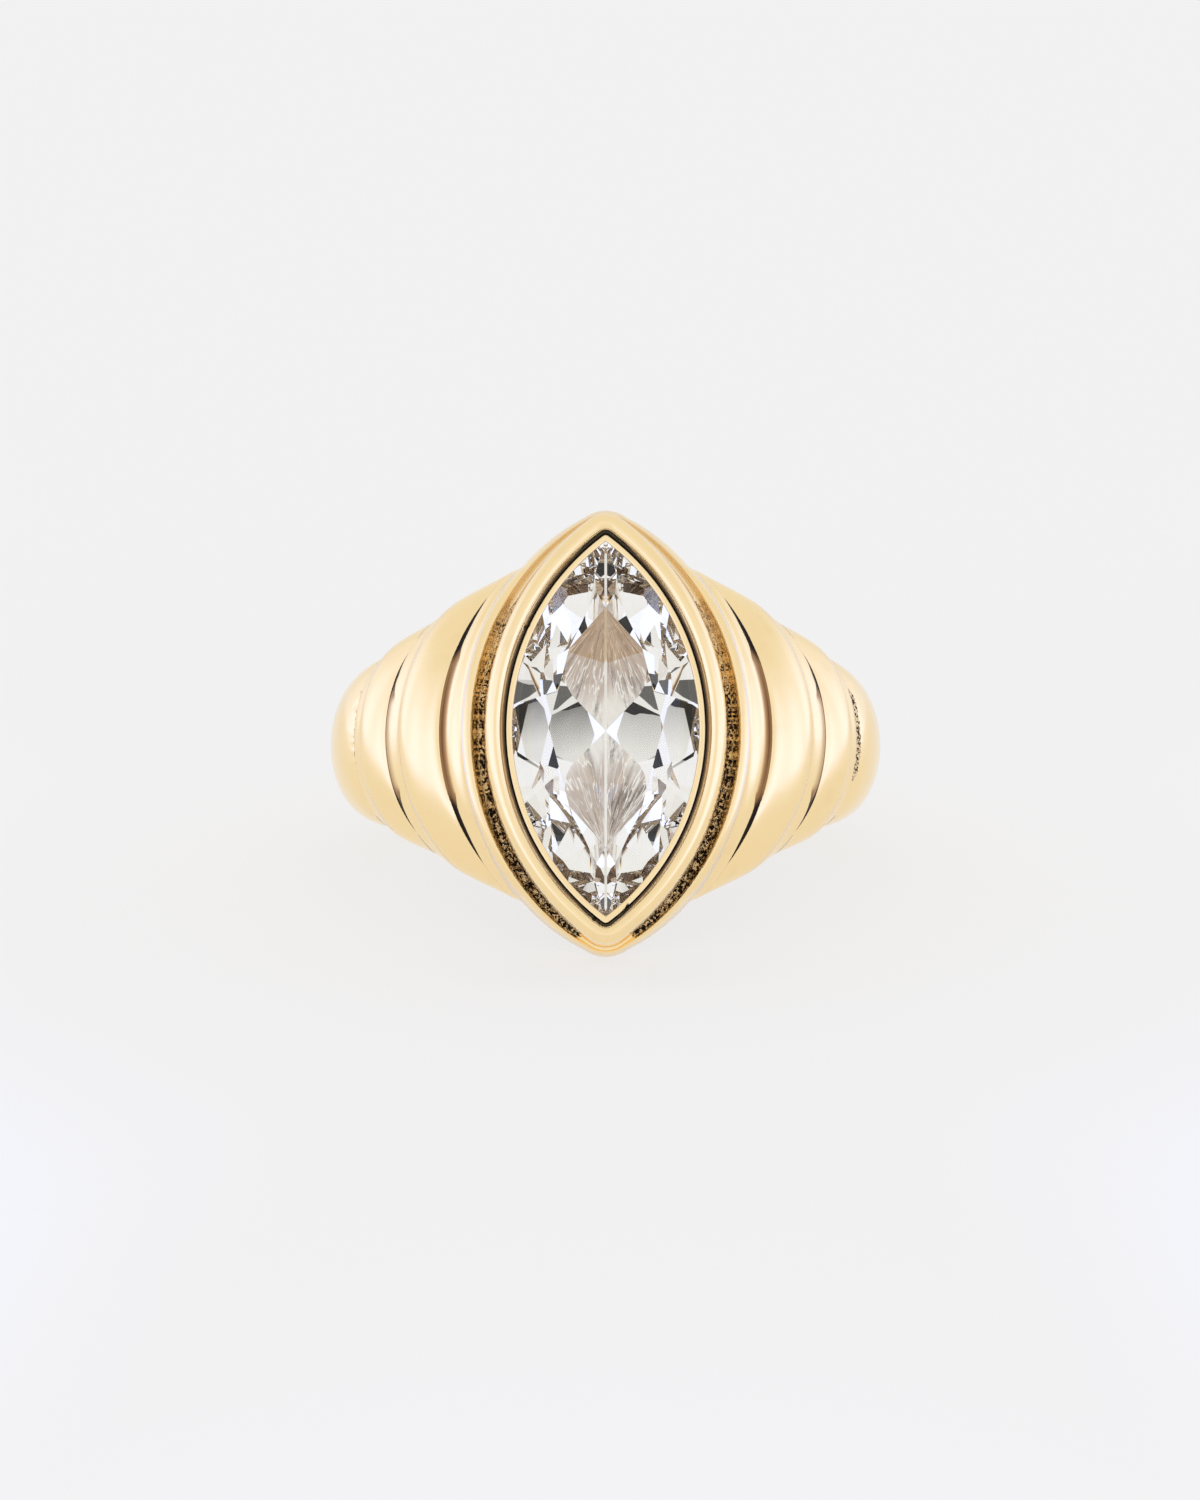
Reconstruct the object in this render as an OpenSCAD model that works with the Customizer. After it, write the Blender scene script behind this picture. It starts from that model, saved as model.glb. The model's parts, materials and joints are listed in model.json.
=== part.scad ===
// Navette ring: a cast gold ring with a long pointed stone in a lens-shaped bezel.
// A collar runs round the bezel, and the shoulders fall from it in steps to a plain tapering band.
// The ring is drawn head up, with the finger hole along Y and the length of the stone along Y too.
// Then it is laid on its side, where it rests on the collar's point and the back of the band.

/* [Finger] */
// Inside diameter of the band
finger_d = 16.5; // [15:0.1:21]

/* [Stone] */
// Length of the stone from point to point
stone_len = 14; // [11:0.25:16]
// Width of the stone across its middle
stone_w = 7; // [5:0.25:8]
// Height of the crown above the girdle
crown_h = 1.2; // [0.8:0.05:1.6]
// Depth of the pavilion below the girdle
pavilion_h = 2.9; // [2.4:0.1:3.6]
// Thickness of the girdle
girdle_t = 0.12; // [0.06:0.02:0.2]
// Width of the table as a share of the stone's width
table_share = 0.6; // [0.45:0.01:0.65]
// Gap between the stone and the metal
stone_gap = 0.06; // [0.04:0.01:0.1]
// Height of the stone's lowest point above the finger hole
keel_gap = 0.55; // [0.2:0.05:0.8]

/* [Bezel] */
// How far the lip reaches in over the edge of the stone
lip_over = 0.05; // [0.02:0.01:0.12]
// Width of the flat lip round the stone
lip_w = 0.22; // [0.15:0.01:0.35]
// Height of the flat lip above the girdle
lip_rise = 0.3; // [0.25:0.05:0.5]
// Width of the rounded rim
rim_w = 0.81; // [0.6:0.01:1.1]
// Height of the rim above the lip
rim_rise = 0.55; // [0.3:0.05:0.8]
// Width of the ledge under the stone
ledge_w = 0.7; // [0.5:0.05:1]

/* [Collar] */
// Width of the groove and collar outside the rim, beside the stone
collar_w = 0.87; // [0.6:0.01:1.2]
// The same width at the points of the stone
collar_point_w = 0.36; // [0.25:0.01:0.6]
// Thickness of the metal from the finger hole to the collar's edge
collar_wall = 3.85; // [3.4:0.05:4.4]
// Height of the collar's inner edge above the band's edge, at the points
point_rise = 0.95; // [0.6:0.05:1.3]
// Depth of the groove between the rim and the collar
groove_depth = 0.55; // [0.3:0.05:0.8]

/* [Shoulders] */
// Thickness of the metal at the bottom of the first crease, beside the collar
first_crease_wall = 2.95; // [2.7:0.05:3.2]
// Thickness at the bottom of the second crease
second_crease_wall = 2.42; // [2.2:0.02:2.65]
// Thickness at the bottom of the third crease
third_crease_wall = 2.2; // [1.9:0.05:2.4]
// Height of the first step above its creases
first_step_h = 0.52; // [0.3:0.02:0.7]
// Height of the second step
second_step_h = 0.4; // [0.2:0.02:0.6]
// Height of the third step, which runs out into the band
third_step_h = 0.2; // [0.1:0.02:0.4]

/* [Band] */
// Thickness of the band at the back
back_wall = 1.7; // [1.2:0.05:2]
// Thickness of the band along both of its edges
edge_wall = 0.45; // [0.35:0.05:0.9]
// Width of the band where the third crease meets its edges
shoulder_w = 6.8; // [6:0.1:7.6]
// Width of the band at the back
back_w = 3.8; // [3:0.1:5]

/* [Hidden] */

finger_r = finger_d / 2;
edge_r = finger_r + edge_wall;

// How far a cut runs past the metal
overcut_len = 1;

// The stone's outline is two equal arcs. Each has this radius, and its centre this far past the middle
half_len = stone_len / 2;
half_w = stone_w / 2;
arc_r = (half_len * half_len + half_w * half_w) / (2 * half_w);
arc_shift = arc_r - half_w;
point_angle = asin(half_len / arc_r);

// Heights above the ring's centre
keel_z = finger_r + keel_gap;
girdle_z = keel_z + pavilion_h;
crown_z = girdle_z + girdle_t;
lip_z = crown_z + lip_rise;
rim_z = lip_z + rim_rise;

// Distances outward from the stone's outline
lip_out = lip_w - lip_over;
rim_out = lip_out + rim_w;
collar_out = rim_out + collar_w;
point_out = rim_out + collar_point_w;
head_half = half_len + point_out;
collar_r = finger_r + collar_wall;
collar_edge_z = sqrt(pow(collar_r, 2) - pow(half_w + collar_out, 2));

// Columns of the skin: from the middle to the notch where the first crease meets the band's edge,
// on to the stone's point, and round the point
notch_cols = 10;
flank_cols = 3;
point_cols = 4;
head_cols = notch_cols + flank_cols + point_cols;

// The notch's place, as a share of the way round the outline's arc from its middle to its point
notch_share = 0.69;
notch_angle = notch_share * point_angle;

// Share of the way from the middle of the band to its edge, and how far the dome still stands there
function across(j) = sin(90 * j / notch_cols);
function dome(j) = cos(90 * j / notch_cols);
function blend(a, b, share) = a + (b - a) * share;

// Direction of the outline's normal at column j, from 0 beside the stone to 90 at its point
function column_angle(j) =
    j <= notch_cols ? notch_angle * across(j)
    : j <= notch_cols + flank_cols ? blend(notch_angle, point_angle, (j - notch_cols) / flank_cols)
    : blend(point_angle, 90, (j - notch_cols - flank_cols) / point_cols);

// A place this far outside the stone's outline, in plan. Past the arc's end it swings round the point
function outline(angle, out) =
    let (turn = min(angle, point_angle))
    [arc_r * cos(turn) - arc_shift + out * cos(angle), arc_r * sin(turn) + out * sin(angle)];

// How far the collar's outer edge stands off the stone: wide beside it and narrow at its point
narrowing = 3.5;
function collar_reach(angle) =
    blend(collar_out, point_out, pow(min(angle / point_angle, 1), narrowing));

// Share of the way along the head's length
function along_head(angle, out) = outline(angle, out)[1] / head_half;

// The rim, from the lip outward: distance across the rim, and height above the lip, as shares
rim_shares = [
    // across, height
    [0, 0], [0.03, -0.06], [0.07, 0.2], [0.16, 0.62], [0.28, 0.88], [0.45, 1],
    [0.62, 0.98], [0.78, 0.86], [0.9, 0.62], [0.97, 0.3], [1, -0.1]
];

// The groove and the collar, from the rim to the collar's edge
collar_shares = [
    // across the collar, height from the groove's bottom to the collar's inner edge
    [0.02, 0.45], [0.1, 0.12], [0.24, 0], [0.38, 0.14], [0.46, 0.55], [0.52, 0.9], [0.6, 1]
];

// The collar's inner edge stands this much higher than its outer edge, and falls towards the points
collar_crown_h = 0.12;
function collar_inner_z(angle, out) =
    blend(collar_edge_z + collar_crown_h, edge_r + point_rise, pow(along_head(angle, out), 2));
function groove_bottom_z(angle, out) =
    collar_inner_z(angle, out) - groove_depth * (1 - pow(along_head(angle, out), 3));

function rim_row(shape) = [
    for (j = [0 : head_cols])
        let (p = outline(column_angle(j), lip_out + rim_w * shape[0]))
        [p[0], p[1], lip_z + rim_rise * shape[1]]
];

function collar_row(shape) = [
    for (j = [0 : head_cols])
        let (angle = column_angle(j))
        let (out = blend(rim_out, collar_reach(angle), shape[0]))
        let (p = outline(angle, out))
        [p[0], p[1], blend(groove_bottom_z(angle, out), collar_inner_z(angle, out), shape[1])]
];

// The collar's outer edge drops to the band's edge at the notch and follows it from there to the point
collar_edge = [
    for (j = [0 : head_cols])
        let (angle = column_angle(j))
        let (p = outline(angle, collar_reach(angle)))
        let (r = j < notch_cols ? blend(edge_r, collar_r, dome(j)) : edge_r)
        [p[0], p[1], sqrt(r * r - p[0] * p[0])]
];

// Rounds the collar's top between its inner edge and its outer edge
collar_top = collar_row(collar_shares[len(collar_shares) - 1]);
function collar_round_row(turn) = [
    for (j = [0 : head_cols])
        let (a = collar_top[j], b = collar_edge[j])
        [blend(a[0], b[0], sin(turn)), blend(a[1], b[1], sin(turn)), blend(b[2], a[2], cos(turn))]
];

head_rows = [
    for (shape = rim_shares) rim_row(shape),
    for (shape = collar_shares) collar_row(shape),
    for (turn = [30, 60]) collar_round_row(turn),
    collar_edge
];

// Where the creases cross the shoulder: their angles round the finger, from the head's middle.
// They lean, so the angle at the band's edge differs from the one in the middle
first_middle_angle = 33.1;
second_middle_angle = 50;
second_edge_angle = 42.3;
third_middle_angle = 64.3;
third_edge_angle = 62.5;
back_angle = 180;

// The first crease meets the band's edge just past the notch and just inside the collar's outline
notch = outline(notch_angle, collar_reach(notch_angle));
past_notch_angle = 1.2;
first_edge_angle = asin(notch[0] / edge_r) + past_notch_angle;
under_collar_gap = 0.08;
second_crease_share = 0.24;

// A crease's radius is its distance from the ring's centre in the middle of the band
creases = [
    // middle angle, edge angle, radius, half the band's width there
    [first_middle_angle, first_edge_angle, finger_r + first_crease_wall, notch[1] - under_collar_gap],
    [
        second_middle_angle, second_edge_angle,
        finger_r + second_crease_wall, blend(shoulder_w / 2, head_half, second_crease_share)
    ],
    [third_middle_angle, third_edge_angle, finger_r + third_crease_wall, shoulder_w / 2],
    [back_angle, back_angle, finger_r + back_wall, back_w / 2]
];

// The collar's outer wall, its foot and the first crease, between the collar's edge and the crease
wall_shares = [
    // share of the way outward, share of the drop
    [0.03, 0.16], [0.09, 0.4], [0.18, 0.6], [0.3, 0.71], [0.45, 0.74], [0.6, 0.76], [0.74, 0.84],
    [0.88, 0.96]
];

// One step, from its inner crease to its outer one: the rounded top, the steep wall and the ledge under it
step_shares = [
    // share of the way outward, share of the step's height
    [0.02, 0.22], [0.07, 0.42], [0.15, 0.6], [0.26, 0.81], [0.37, 0.95], [0.46, 1], [0.52, 0.98],
    [0.57, 0.89], [0.605, 0.75], [0.64, 0.58], [0.69, 0.52], [0.78, 0.57], [0.86, 0.6], [0.92, 0.52],
    [0.96, 0.33]
];

// The last step and the band, from the third crease to the back
band_shares = [
    // share of the way round, share of the step's height
    [0.006, 0.25], [0.018, 0.5], [0.035, 0.75], [0.06, 0.95], [0.09, 1], [0.13, 0.98], [0.18, 0.9],
    [0.24, 0.78], [0.3, 0.62], [0.37, 0.44], [0.44, 0.28], [0.51, 0.16], [0.58, 0.08], [0.65, 0.03],
    [0.72, 0], [0.79, 0], [0.86, 0], [0.93, 0]
];

// One line of the skin across the band. The line leans from one angle in the middle to another at
// the edge, and its height falls in an ellipse from the radius in the middle to the band's edge
function band_row(middle, edge, radius, half) = [
    for (j = [0 : notch_cols])
        let (r = blend(edge_r, radius, dome(j)))
        let (angle = blend(middle, edge, pow(across(j), 2)))
        [r * sin(angle), half * across(j), r * cos(angle)]
];
function crease_row(c) = band_row(c[0], c[1], c[2], c[3]);

function wall_row(shape) =
    let (foot = crease_row(creases[0]))
    [
        for (j = [0 : notch_cols])
            let (a = collar_edge[j], b = foot[j])
            let (ra = norm([a[0], a[2]]), rb = norm([b[0], b[2]]))
            let (r = blend(ra, rb, shape[1]))
            let (angle = blend(atan2(a[0], a[2]), atan2(b[0], b[2]), shape[0]))
            [r * sin(angle), blend(a[1], b[1], shape[0]), r * cos(angle)]
    ];

// How far a step bulges sideways over the band's edge, as a share of its height
edge_bulge = 0.25;

// How strongly a step's lines spread there
edge_spread = 0.45;

// A step's lines spread at the band's edge, so that its wall closes up there and its top takes the room
function step_row(inner, outer, height, shape) =
    let (at_edge = pow(shape[0], edge_spread))
    band_row(
        blend(inner[0], outer[0], shape[0]),
        blend(inner[1], outer[1], at_edge),
        blend(inner[2], outer[2], shape[0]) + height * shape[1],
        blend(inner[3], outer[3], at_edge) + height * edge_bulge * sin(180 * at_edge)
    );

// The plain band narrows and thins smoothly, and is nearly straight at the back
function plain_row(height, shape) =
    let (inner = creases[2], outer = creases[3])
    let (left = 1 - shape[0])
    band_row(
        blend(inner[0], outer[0], shape[0]),
        blend(inner[1], outer[1], shape[0]),
        blend(outer[2], inner[2], (1 - cos(180 * left)) / 2) + height * shape[1],
        blend(outer[3], inner[3], left * left)
    );

band_rows = [
    for (shape = wall_shares) wall_row(shape),
    crease_row(creases[0]),
    for (shape = step_shares) step_row(creases[0], creases[1], first_step_h, shape),
    crease_row(creases[1]),
    for (shape = step_shares) step_row(creases[1], creases[2], second_step_h, shape),
    crease_row(creases[2]),
    for (shape = band_shares) plain_row(third_step_h, shape),
    [for (p = crease_row(creases[3])) [0, p[1], p[2]]]
];

// The skin is four mirrored quarters. Side 0 is the right half and side 1 the left, and columns
// run from minus the last one, at the band's lower edge, to the last one at its upper edge
function whole_row(row, side) =
    let (last = len(row) - 1)
    [
        for (j = [-last : last])
            let (p = row[abs(j)])
            [side == 0 ? p[0] : -p[0], j < 0 ? -p[1] : p[1], p[2]]
    ];

head_line = 2 * head_cols + 1;
band_line = 2 * notch_cols + 1;
band_start = 2 * len(head_rows) * head_line;
ring_start = band_start + 2 * len(band_rows) * band_line;

// Number of a point. The two halves share the points at the tips and along the middle of the back
function head_point(side, row, j) =
    ((abs(j) == head_cols ? 0 : side) * len(head_rows) + row) * head_line + j + head_cols;
function band_point(side, row, j) =
    band_start + ((row == len(band_rows) - 1 ? 0 : side) * len(band_rows) + row) * band_line
        + j + notch_cols;

last_head = len(head_rows) - 1;
last_band = len(band_rows) - 1;

function head_ids(side, row, reach) = [for (j = [-reach : reach]) head_point(side, row, j)];
function band_ids(side, row) = [for (j = [-notch_cols : notch_cols]) band_point(side, row, j)];

// The edge of the skin on one flank, once round: from one tip to the notch, to the back and home again
function flank_ids(up) = [
    for (j = [head_cols : -1 : notch_cols]) head_point(0, last_head, up * j),
    for (row = [0 : last_band]) band_point(0, row, up * notch_cols),
    for (row = [last_band - 1 : -1 : 0]) band_point(1, row, up * notch_cols),
    for (j = [notch_cols : head_cols - 1]) head_point(1, last_head, up * j)
];

// The same edge drawn in towards the ring's centre, to a radius inside the finger hole
function drawn_in(p) =
    let (share = (finger_r - overcut_len / 2) / norm([p[0], p[2]]))
    [p[0] * share, p[1], p[2] * share];

head_points = [for (side = [0, 1]) for (row = head_rows) each whole_row(row, side)];
band_points = [for (side = [0, 1]) for (row = band_rows) each whole_row(row, side)];
skin_points = concat(head_points, band_points);
flank_count = len(flank_ids(1));
flank_points = [for (up = [-1, 1]) for (id = flank_ids(up)) drawn_in(skin_points[id])];
hub_points = [for (up = [-1, 1]) [0, up * half_len / 2, 0]];
body_points = concat(skin_points, flank_points, hub_points);

function triangle(a, b, c) = (a == b || b == c || c == a) ? [] : [[a, b, c]];
function strip(a, b) = [
    for (k = [0 : len(a) - 2])
        each concat(triangle(a[k], b[k + 1], b[k]), triangle(a[k], a[k + 1], b[k + 1]))
];
function mirrored_strip(side, a, b) = side == 0 ? strip(a, b) : strip(b, a);
function closed(ids) = concat(ids, [ids[0]]);

function half_faces(side) = [
    for (row = [0 : last_head - 1])
        each mirrored_strip(side, head_ids(side, row, head_cols), head_ids(side, row + 1, head_cols)),
    each mirrored_strip(side, head_ids(side, last_head, notch_cols), band_ids(side, 0)),
    for (row = [0 : last_band - 1])
        each mirrored_strip(side, band_ids(side, row), band_ids(side, row + 1))
];

function flank_faces(up) =
    let (first = ring_start + (up > 0 ? flank_count : 0))
    let (hub = ring_start + 2 * flank_count + (up > 0 ? 1 : 0))
    let (outer = closed(flank_ids(up)))
    let (inner = closed([for (k = [0 : flank_count - 1]) first + k]))
    [
        each (up > 0 ? strip(inner, outer) : strip(outer, inner)),
        for (k = [0 : flank_count - 1])
            up > 0 ? [inner[k + 1], inner[k], hub] : [inner[k], inner[k + 1], hub]
    ];

body_faces = [
    each strip(head_ids(1, 0, head_cols), head_ids(0, 0, head_cols)),
    each half_faces(0),
    each half_faces(1),
    each flank_faces(-1),
    each flank_faces(1)
];

// A solid with the stone's outline: what two turned solids, one about each arc's centre, share.
// The profile's distances are outward from the outline
module lens(profile) {
    turned = concat(
        [[0, profile[0][1]]],
        [for (p = profile) [arc_r + p[0], p[1]]],
        [[0, profile[len(profile) - 1][1]]]
    );
    intersection() {
        translate([-arc_shift, 0, 0]) rotate_extrude($fn = 96) polygon(turned);
        translate([arc_shift, 0, 0]) rotate_extrude($fn = 96) polygon(turned);
    }
}

// The stone's seat: open to the finger below, a ledge along the pavilion, and a pocket under the lip
module seat() {
    ledge_z = girdle_z - stone_gap;
    lens([
        [-ledge_w, 0],
        [-ledge_w, ledge_z - (ledge_w + stone_gap) * pavilion_h / half_w],
        [stone_gap, ledge_z],
        [stone_gap, crown_z + stone_gap],
        [-lip_over, crown_z + 2 * stone_gap],
        [-lip_over, lip_z + overcut_len]
    ]);
}

module finger_hole() {
    rotate([90, 0, 0]) cylinder(r = finger_r, h = 2 * (head_half + overcut_len), center = true, $fn = 128);
}

// How the ring lies: a line from the collar's point, at the finger hole, touches the back of the band
rest_slope = min([
    for (p = band_points)
        if (p[2] < 0) (head_half - abs(p[1])) / (finger_r - p[2])
]);
rest_tilt = atan(rest_slope);
rest_drop = head_half * cos(rest_tilt) - finger_r * sin(rest_tilt);
rest_depths = [for (p = skin_points) p[1] * sin(rest_tilt) - p[2] * cos(rest_tilt)];
rest_back = -(min(rest_depths) + max(rest_depths)) / 2;

module at_rest() {
    translate([0, rest_back, rest_drop]) rotate([90 - rest_tilt, 0, 0]) children();
}

module ring_body() {
    color("gold")
    at_rest()
    difference() {
        polyhedron(points = body_points, faces = body_faces, convexity = 10);
        finger_hole();
        seat();
    }
}

// The stone has 8 main directions and 8 half directions between them, counted round its outline
facet_turns = 16;
function girdle_place(k) =
    let (quarter = floor(k / 4) % 4, step = k % 4)
    let (share = quarter % 2 == 0 ? step / 4 : 1 - step / 4)
    let (p = outline(point_angle * share, 0))
    [(quarter == 1 || quarter == 2) ? -p[0] : p[0], quarter >= 2 ? -p[1] : p[1]];

// A ring of corners in the main directions (first = 0) or the half directions (first = 1)
function facet_ring(first, share, z) = [
    for (k = [first : 2 : facet_turns - 1])
        let (p = girdle_place(k))
        [p[0] * share, p[1] * share, z]
];

// Where the kite facets meet between the main directions, as shares of the outline and of the height
crown_mid_shares = [0.8, 0.52];
pavilion_mid_shares = [0.62, 0.44];

mains = facet_turns / 2;
stone_points = concat(
    facet_ring(0, table_share, crown_z + crown_h),
    facet_ring(1, crown_mid_shares[0], crown_z + crown_h * crown_mid_shares[1]),
    facet_ring(0, 1, crown_z),
    facet_ring(1, 1, crown_z),
    facet_ring(0, 1, girdle_z),
    facet_ring(1, 1, girdle_z),
    facet_ring(1, pavilion_mid_shares[0], girdle_z - pavilion_h * pavilion_mid_shares[1]),
    [[0, 0, keel_z]]
);

function stone_id(ring, k) = ring * mains + (k + mains) % mains;

stone_faces = [
    [for (k = [mains - 1 : -1 : 0]) stone_id(0, k)],
    for (k = [0 : mains - 1])
        each [
            // star, kite in two halves, and two upper girdle facets
            [stone_id(0, k), stone_id(0, k + 1), stone_id(1, k)],
            [stone_id(0, k), stone_id(1, k), stone_id(2, k)],
            [stone_id(0, k), stone_id(2, k), stone_id(1, k - 1)],
            [stone_id(1, k), stone_id(3, k), stone_id(2, k)],
            [stone_id(1, k), stone_id(2, k + 1), stone_id(3, k)],
            // girdle
            [stone_id(2, k), stone_id(3, k), stone_id(5, k), stone_id(4, k)],
            [stone_id(3, k), stone_id(2, k + 1), stone_id(4, k + 1), stone_id(5, k)],
            // two lower girdle facets and the pavilion kite in two halves
            [stone_id(4, k), stone_id(5, k), stone_id(6, k)],
            [stone_id(5, k), stone_id(4, k + 1), stone_id(6, k)],
            [stone_id(4, k), stone_id(6, k), 7 * mains],
            [stone_id(4, k), 7 * mains, stone_id(6, k - 1)]
        ]
];

module stone() {
    color("whitesmoke")
    at_rest()
    polyhedron(points = stone_points, faces = stone_faces, convexity = 2);
}

ring_body();
stone();
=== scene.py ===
"""A navette ring: a cast gold finger ring with stepped shoulders and a marquise stone in a bezel.

Shapes are worked out in millimetres in the ring's own frame: the head faces +Z, the finger hole and the
stone's length run along Y, and the middle of the finger hole is the origin. A finished piece is then tipped
over into the frame's place for it, lying on its side, in metres.
"""
from functools import partial
from math import acos, asin, atan2, cos, log10, pi, radians, sin, sqrt
from types import SimpleNamespace

import json

import bmesh
import bpy
import numpy as np
from bpy.props import FloatProperty, FloatVectorProperty, PointerProperty
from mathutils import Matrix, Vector


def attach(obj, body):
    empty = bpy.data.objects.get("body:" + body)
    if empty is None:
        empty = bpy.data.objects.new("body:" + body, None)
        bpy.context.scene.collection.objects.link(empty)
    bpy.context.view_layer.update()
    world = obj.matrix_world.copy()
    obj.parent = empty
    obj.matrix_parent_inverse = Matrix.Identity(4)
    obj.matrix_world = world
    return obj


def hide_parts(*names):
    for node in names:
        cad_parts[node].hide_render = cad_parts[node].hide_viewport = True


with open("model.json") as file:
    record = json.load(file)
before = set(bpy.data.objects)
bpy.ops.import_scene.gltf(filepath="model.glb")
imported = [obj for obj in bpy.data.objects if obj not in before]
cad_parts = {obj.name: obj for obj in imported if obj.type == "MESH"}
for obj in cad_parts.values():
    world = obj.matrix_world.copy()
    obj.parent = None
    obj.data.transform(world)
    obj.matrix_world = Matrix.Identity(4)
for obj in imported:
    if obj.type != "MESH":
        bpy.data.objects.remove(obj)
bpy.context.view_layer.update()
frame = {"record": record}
hole = next(m for m in frame["record"]["mounts"] if m["name"] == "finger_hole")

bl_info = {
    "name": "Navette ring",
    "version": (1, 0, 0),
    "blender": (4, 5, 0),
    "location": "View3D > Sidebar > Ring",
    "description": "A cast gold ring with stepped shoulders and a marquise stone in a bezel",
    "category": "Add Mesh",
}

MM = 0.001
QUARTER = pi / 2
# The signs of x and y in each quarter of the head
QUARTERS = [(1, 1), (1, -1), (-1, 1), (-1, -1)]
# The smooth skin is this much smaller than the source's flats, so that it bulges past none of them
SLIM = 0.999


def linear(code):
    """The linear colour of an sRGB hex value such as "f2f2f2"."""
    shares = [int(code[i:i + 2], 16) / 255 for i in (0, 2, 4)]
    return [s / 12.92 if s <= 0.04045 else ((s + 0.055) / 1.055) ** 2.4 for s in shares]


def length(name, description, mm):
    """A length that the user can set, given in millimetres and kept in metres."""
    return FloatProperty(name=name, description=description, default=mm * MM, unit="LENGTH", precision=5)


def share(name, description, value):
    """A share that the user can set."""
    return FloatProperty(name=name, description=description, default=value, subtype="FACTOR")


def colour(name, description, code):
    """A colour that the user can set, given as an sRGB hex value."""
    return FloatVectorProperty(name=name, description=description, default=linear(code), subtype="COLOR",
                               min=0, max=1)


class RingSizes(bpy.types.PropertyGroup):
    """The driving sizes of the ring"""

    finger_r: length("Finger hole", "Radius of the finger hole", hole["dims"]["r_mm"])
    stone_len: length("Stone length", "Length of the stone from point to point", 14)
    stone_w: length("Stone width", "Width of the stone across its middle", 7)
    crown_h: length("Crown", "Height of the crown above the girdle", 1.2)
    pavilion_h: length("Pavilion", "Depth of the pavilion below the girdle", 2.9)
    girdle_t: length("Girdle", "Thickness of the girdle", 0.12)
    table_share: share("Table", "Width of the table as a share of the stone's width", 0.6)
    stone_gap: length("Stone gap", "Gap between the stone and the metal", 0.06)
    keel_gap: length("Keel gap", "Height of the stone's lowest point above the finger hole", 0.55)
    lip_over: length("Lip overlap", "How far the lip reaches in over the edge of the stone", 0.05)
    lip_w: length("Lip width", "Width of the flat lip round the stone", 0.22)
    lip_rise: length("Lip rise", "Height of the flat lip above the girdle", 0.3)
    rim_w: length("Rim width", "Width of the rounded rim", 0.81)
    rim_rise: length("Rim rise", "Height of the rim above the lip", 0.55)
    ledge_w: length("Ledge", "Width of the ledge under the stone", 0.7)
    collar_w: length("Collar", "Width of the groove and collar beside the stone", 0.87)
    collar_point_w: length("Collar at the points", "The same width at the points of the stone", 0.36)
    collar_wall: length("Collar wall", "Metal from the finger hole to the collar's edge", 3.85)
    point_rise: length("Point rise", "Height of the collar over the band's edge at the points", 0.95)
    groove_depth: length("Groove", "Depth of the groove between the rim and the collar", 0.55)
    first_crease_wall: length("First crease", "Metal under the first crease", 2.95)
    second_crease_wall: length("Second crease", "Metal under the second crease", 2.42)
    third_crease_wall: length("Third crease", "Metal under the third crease", 2.2)
    first_step: length("First step", "Height of the first step above its creases", 0.52)
    second_step: length("Second step", "Height of the second step", 0.4)
    third_step: length("Third step", "Height of the third step, which runs into the band", 0.2)
    back_wall: length("Back", "Thickness of the band at the back", 1.7)
    edge_wall: length("Edge", "Thickness of the band along both of its edges", 0.45)
    shoulder_w: length("Shoulder width", "Width of the band at the third crease", 6.8)
    back_w: length("Back width", "Width of the band at the back", 3.8)


class RingFinish(bpy.types.PropertyGroup):
    """The colours of the ring and the stage"""

    gold: colour("Gold", "Colour of the polished gold plate", "ffe4ae")
    # Worn edge also colours the pale lines along the collar's and steps' edges, painted highlights where the
    # edges turn down
    worn: colour("Worn edge", "Colour of the metal where the plate is worn thin, along the edges", "ecdfcd")
    # Shade also colours the brown painted shade and painted reflection in the slits and along the rim line
    shade: colour("Shade", "Colour of gold plate under a thin tarnish", "a57d52")
    # Tarnish also colours the black painted shade and painted reflection in the slits and along the rim line
    tarnish_and_painted_shade: colour("Tarnish", "Colour of the unpolished, oxidised metal in the pits", "1c130a")
    stone: colour("Stone", "Colour of the clear stone", "faf8f1")
    glare: colour("Glare", "How much light the stone's surface turns back, as a grey", "898989")
    # Film is a painted view of the seat's rough inside, seen through the underside along the keel, with
    # painted dark threads
    painted_seat_view: colour("Film", "Colour of the film of wear under the stone", "ab9485")
    threads: colour("Threads", "Colour of the film's dark threads", "3f3530")
    floor: colour("Floor", "Colour of the floor", "f2f1f0")


# Counts of columns in each quarter of the skin, at its finest: from the middle to the notch where the
# first crease meets the band's edge, on to the stone's point, and round the point. All divide by four
NOTCH_COLUMNS = 176
FLANK_COLUMNS = 72
POINT_COLUMNS = 24

# The notch, where the collar's edge meets the band's edge, as a share of the way to the stone's point
NOTCH_SHARE = 0.69
# Angles round the finger hole, in degrees from the head, where the creases cross the band's middle
CREASE_ANGLES = (33.1, 50, 64.3)
# The same at the band's edge: the first crease lies a little past the notch, and then the other two
PAST_NOTCH = 1.2
CREASE_EDGE_ANGLES = (42.3, 62.5)
UNDER_COLLAR_GAP = 0.08
# Half the width at the second crease, as a share of the way from the shoulder's to the head's
SECOND_CREASE_WIDER = 0.24


def blend(a, b, part):
    """From a at part 0 to b at part 1, in a straight line."""
    return a + (b - a) * part


def ramp(value, start, end):
    """0 before start and 1 past end, with a smooth rise between them. End may lie below start."""
    part = np.clip((value - start) / (end - start), 0, 1)
    return part * part * (3 - 2 * part)


def around(angle, radius, y):
    """Points at this angle from the head round the finger hole, this far from its axis, at y along it."""
    return np.stack([radius * np.sin(angle), y, radius * np.cos(angle)], -1)


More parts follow.
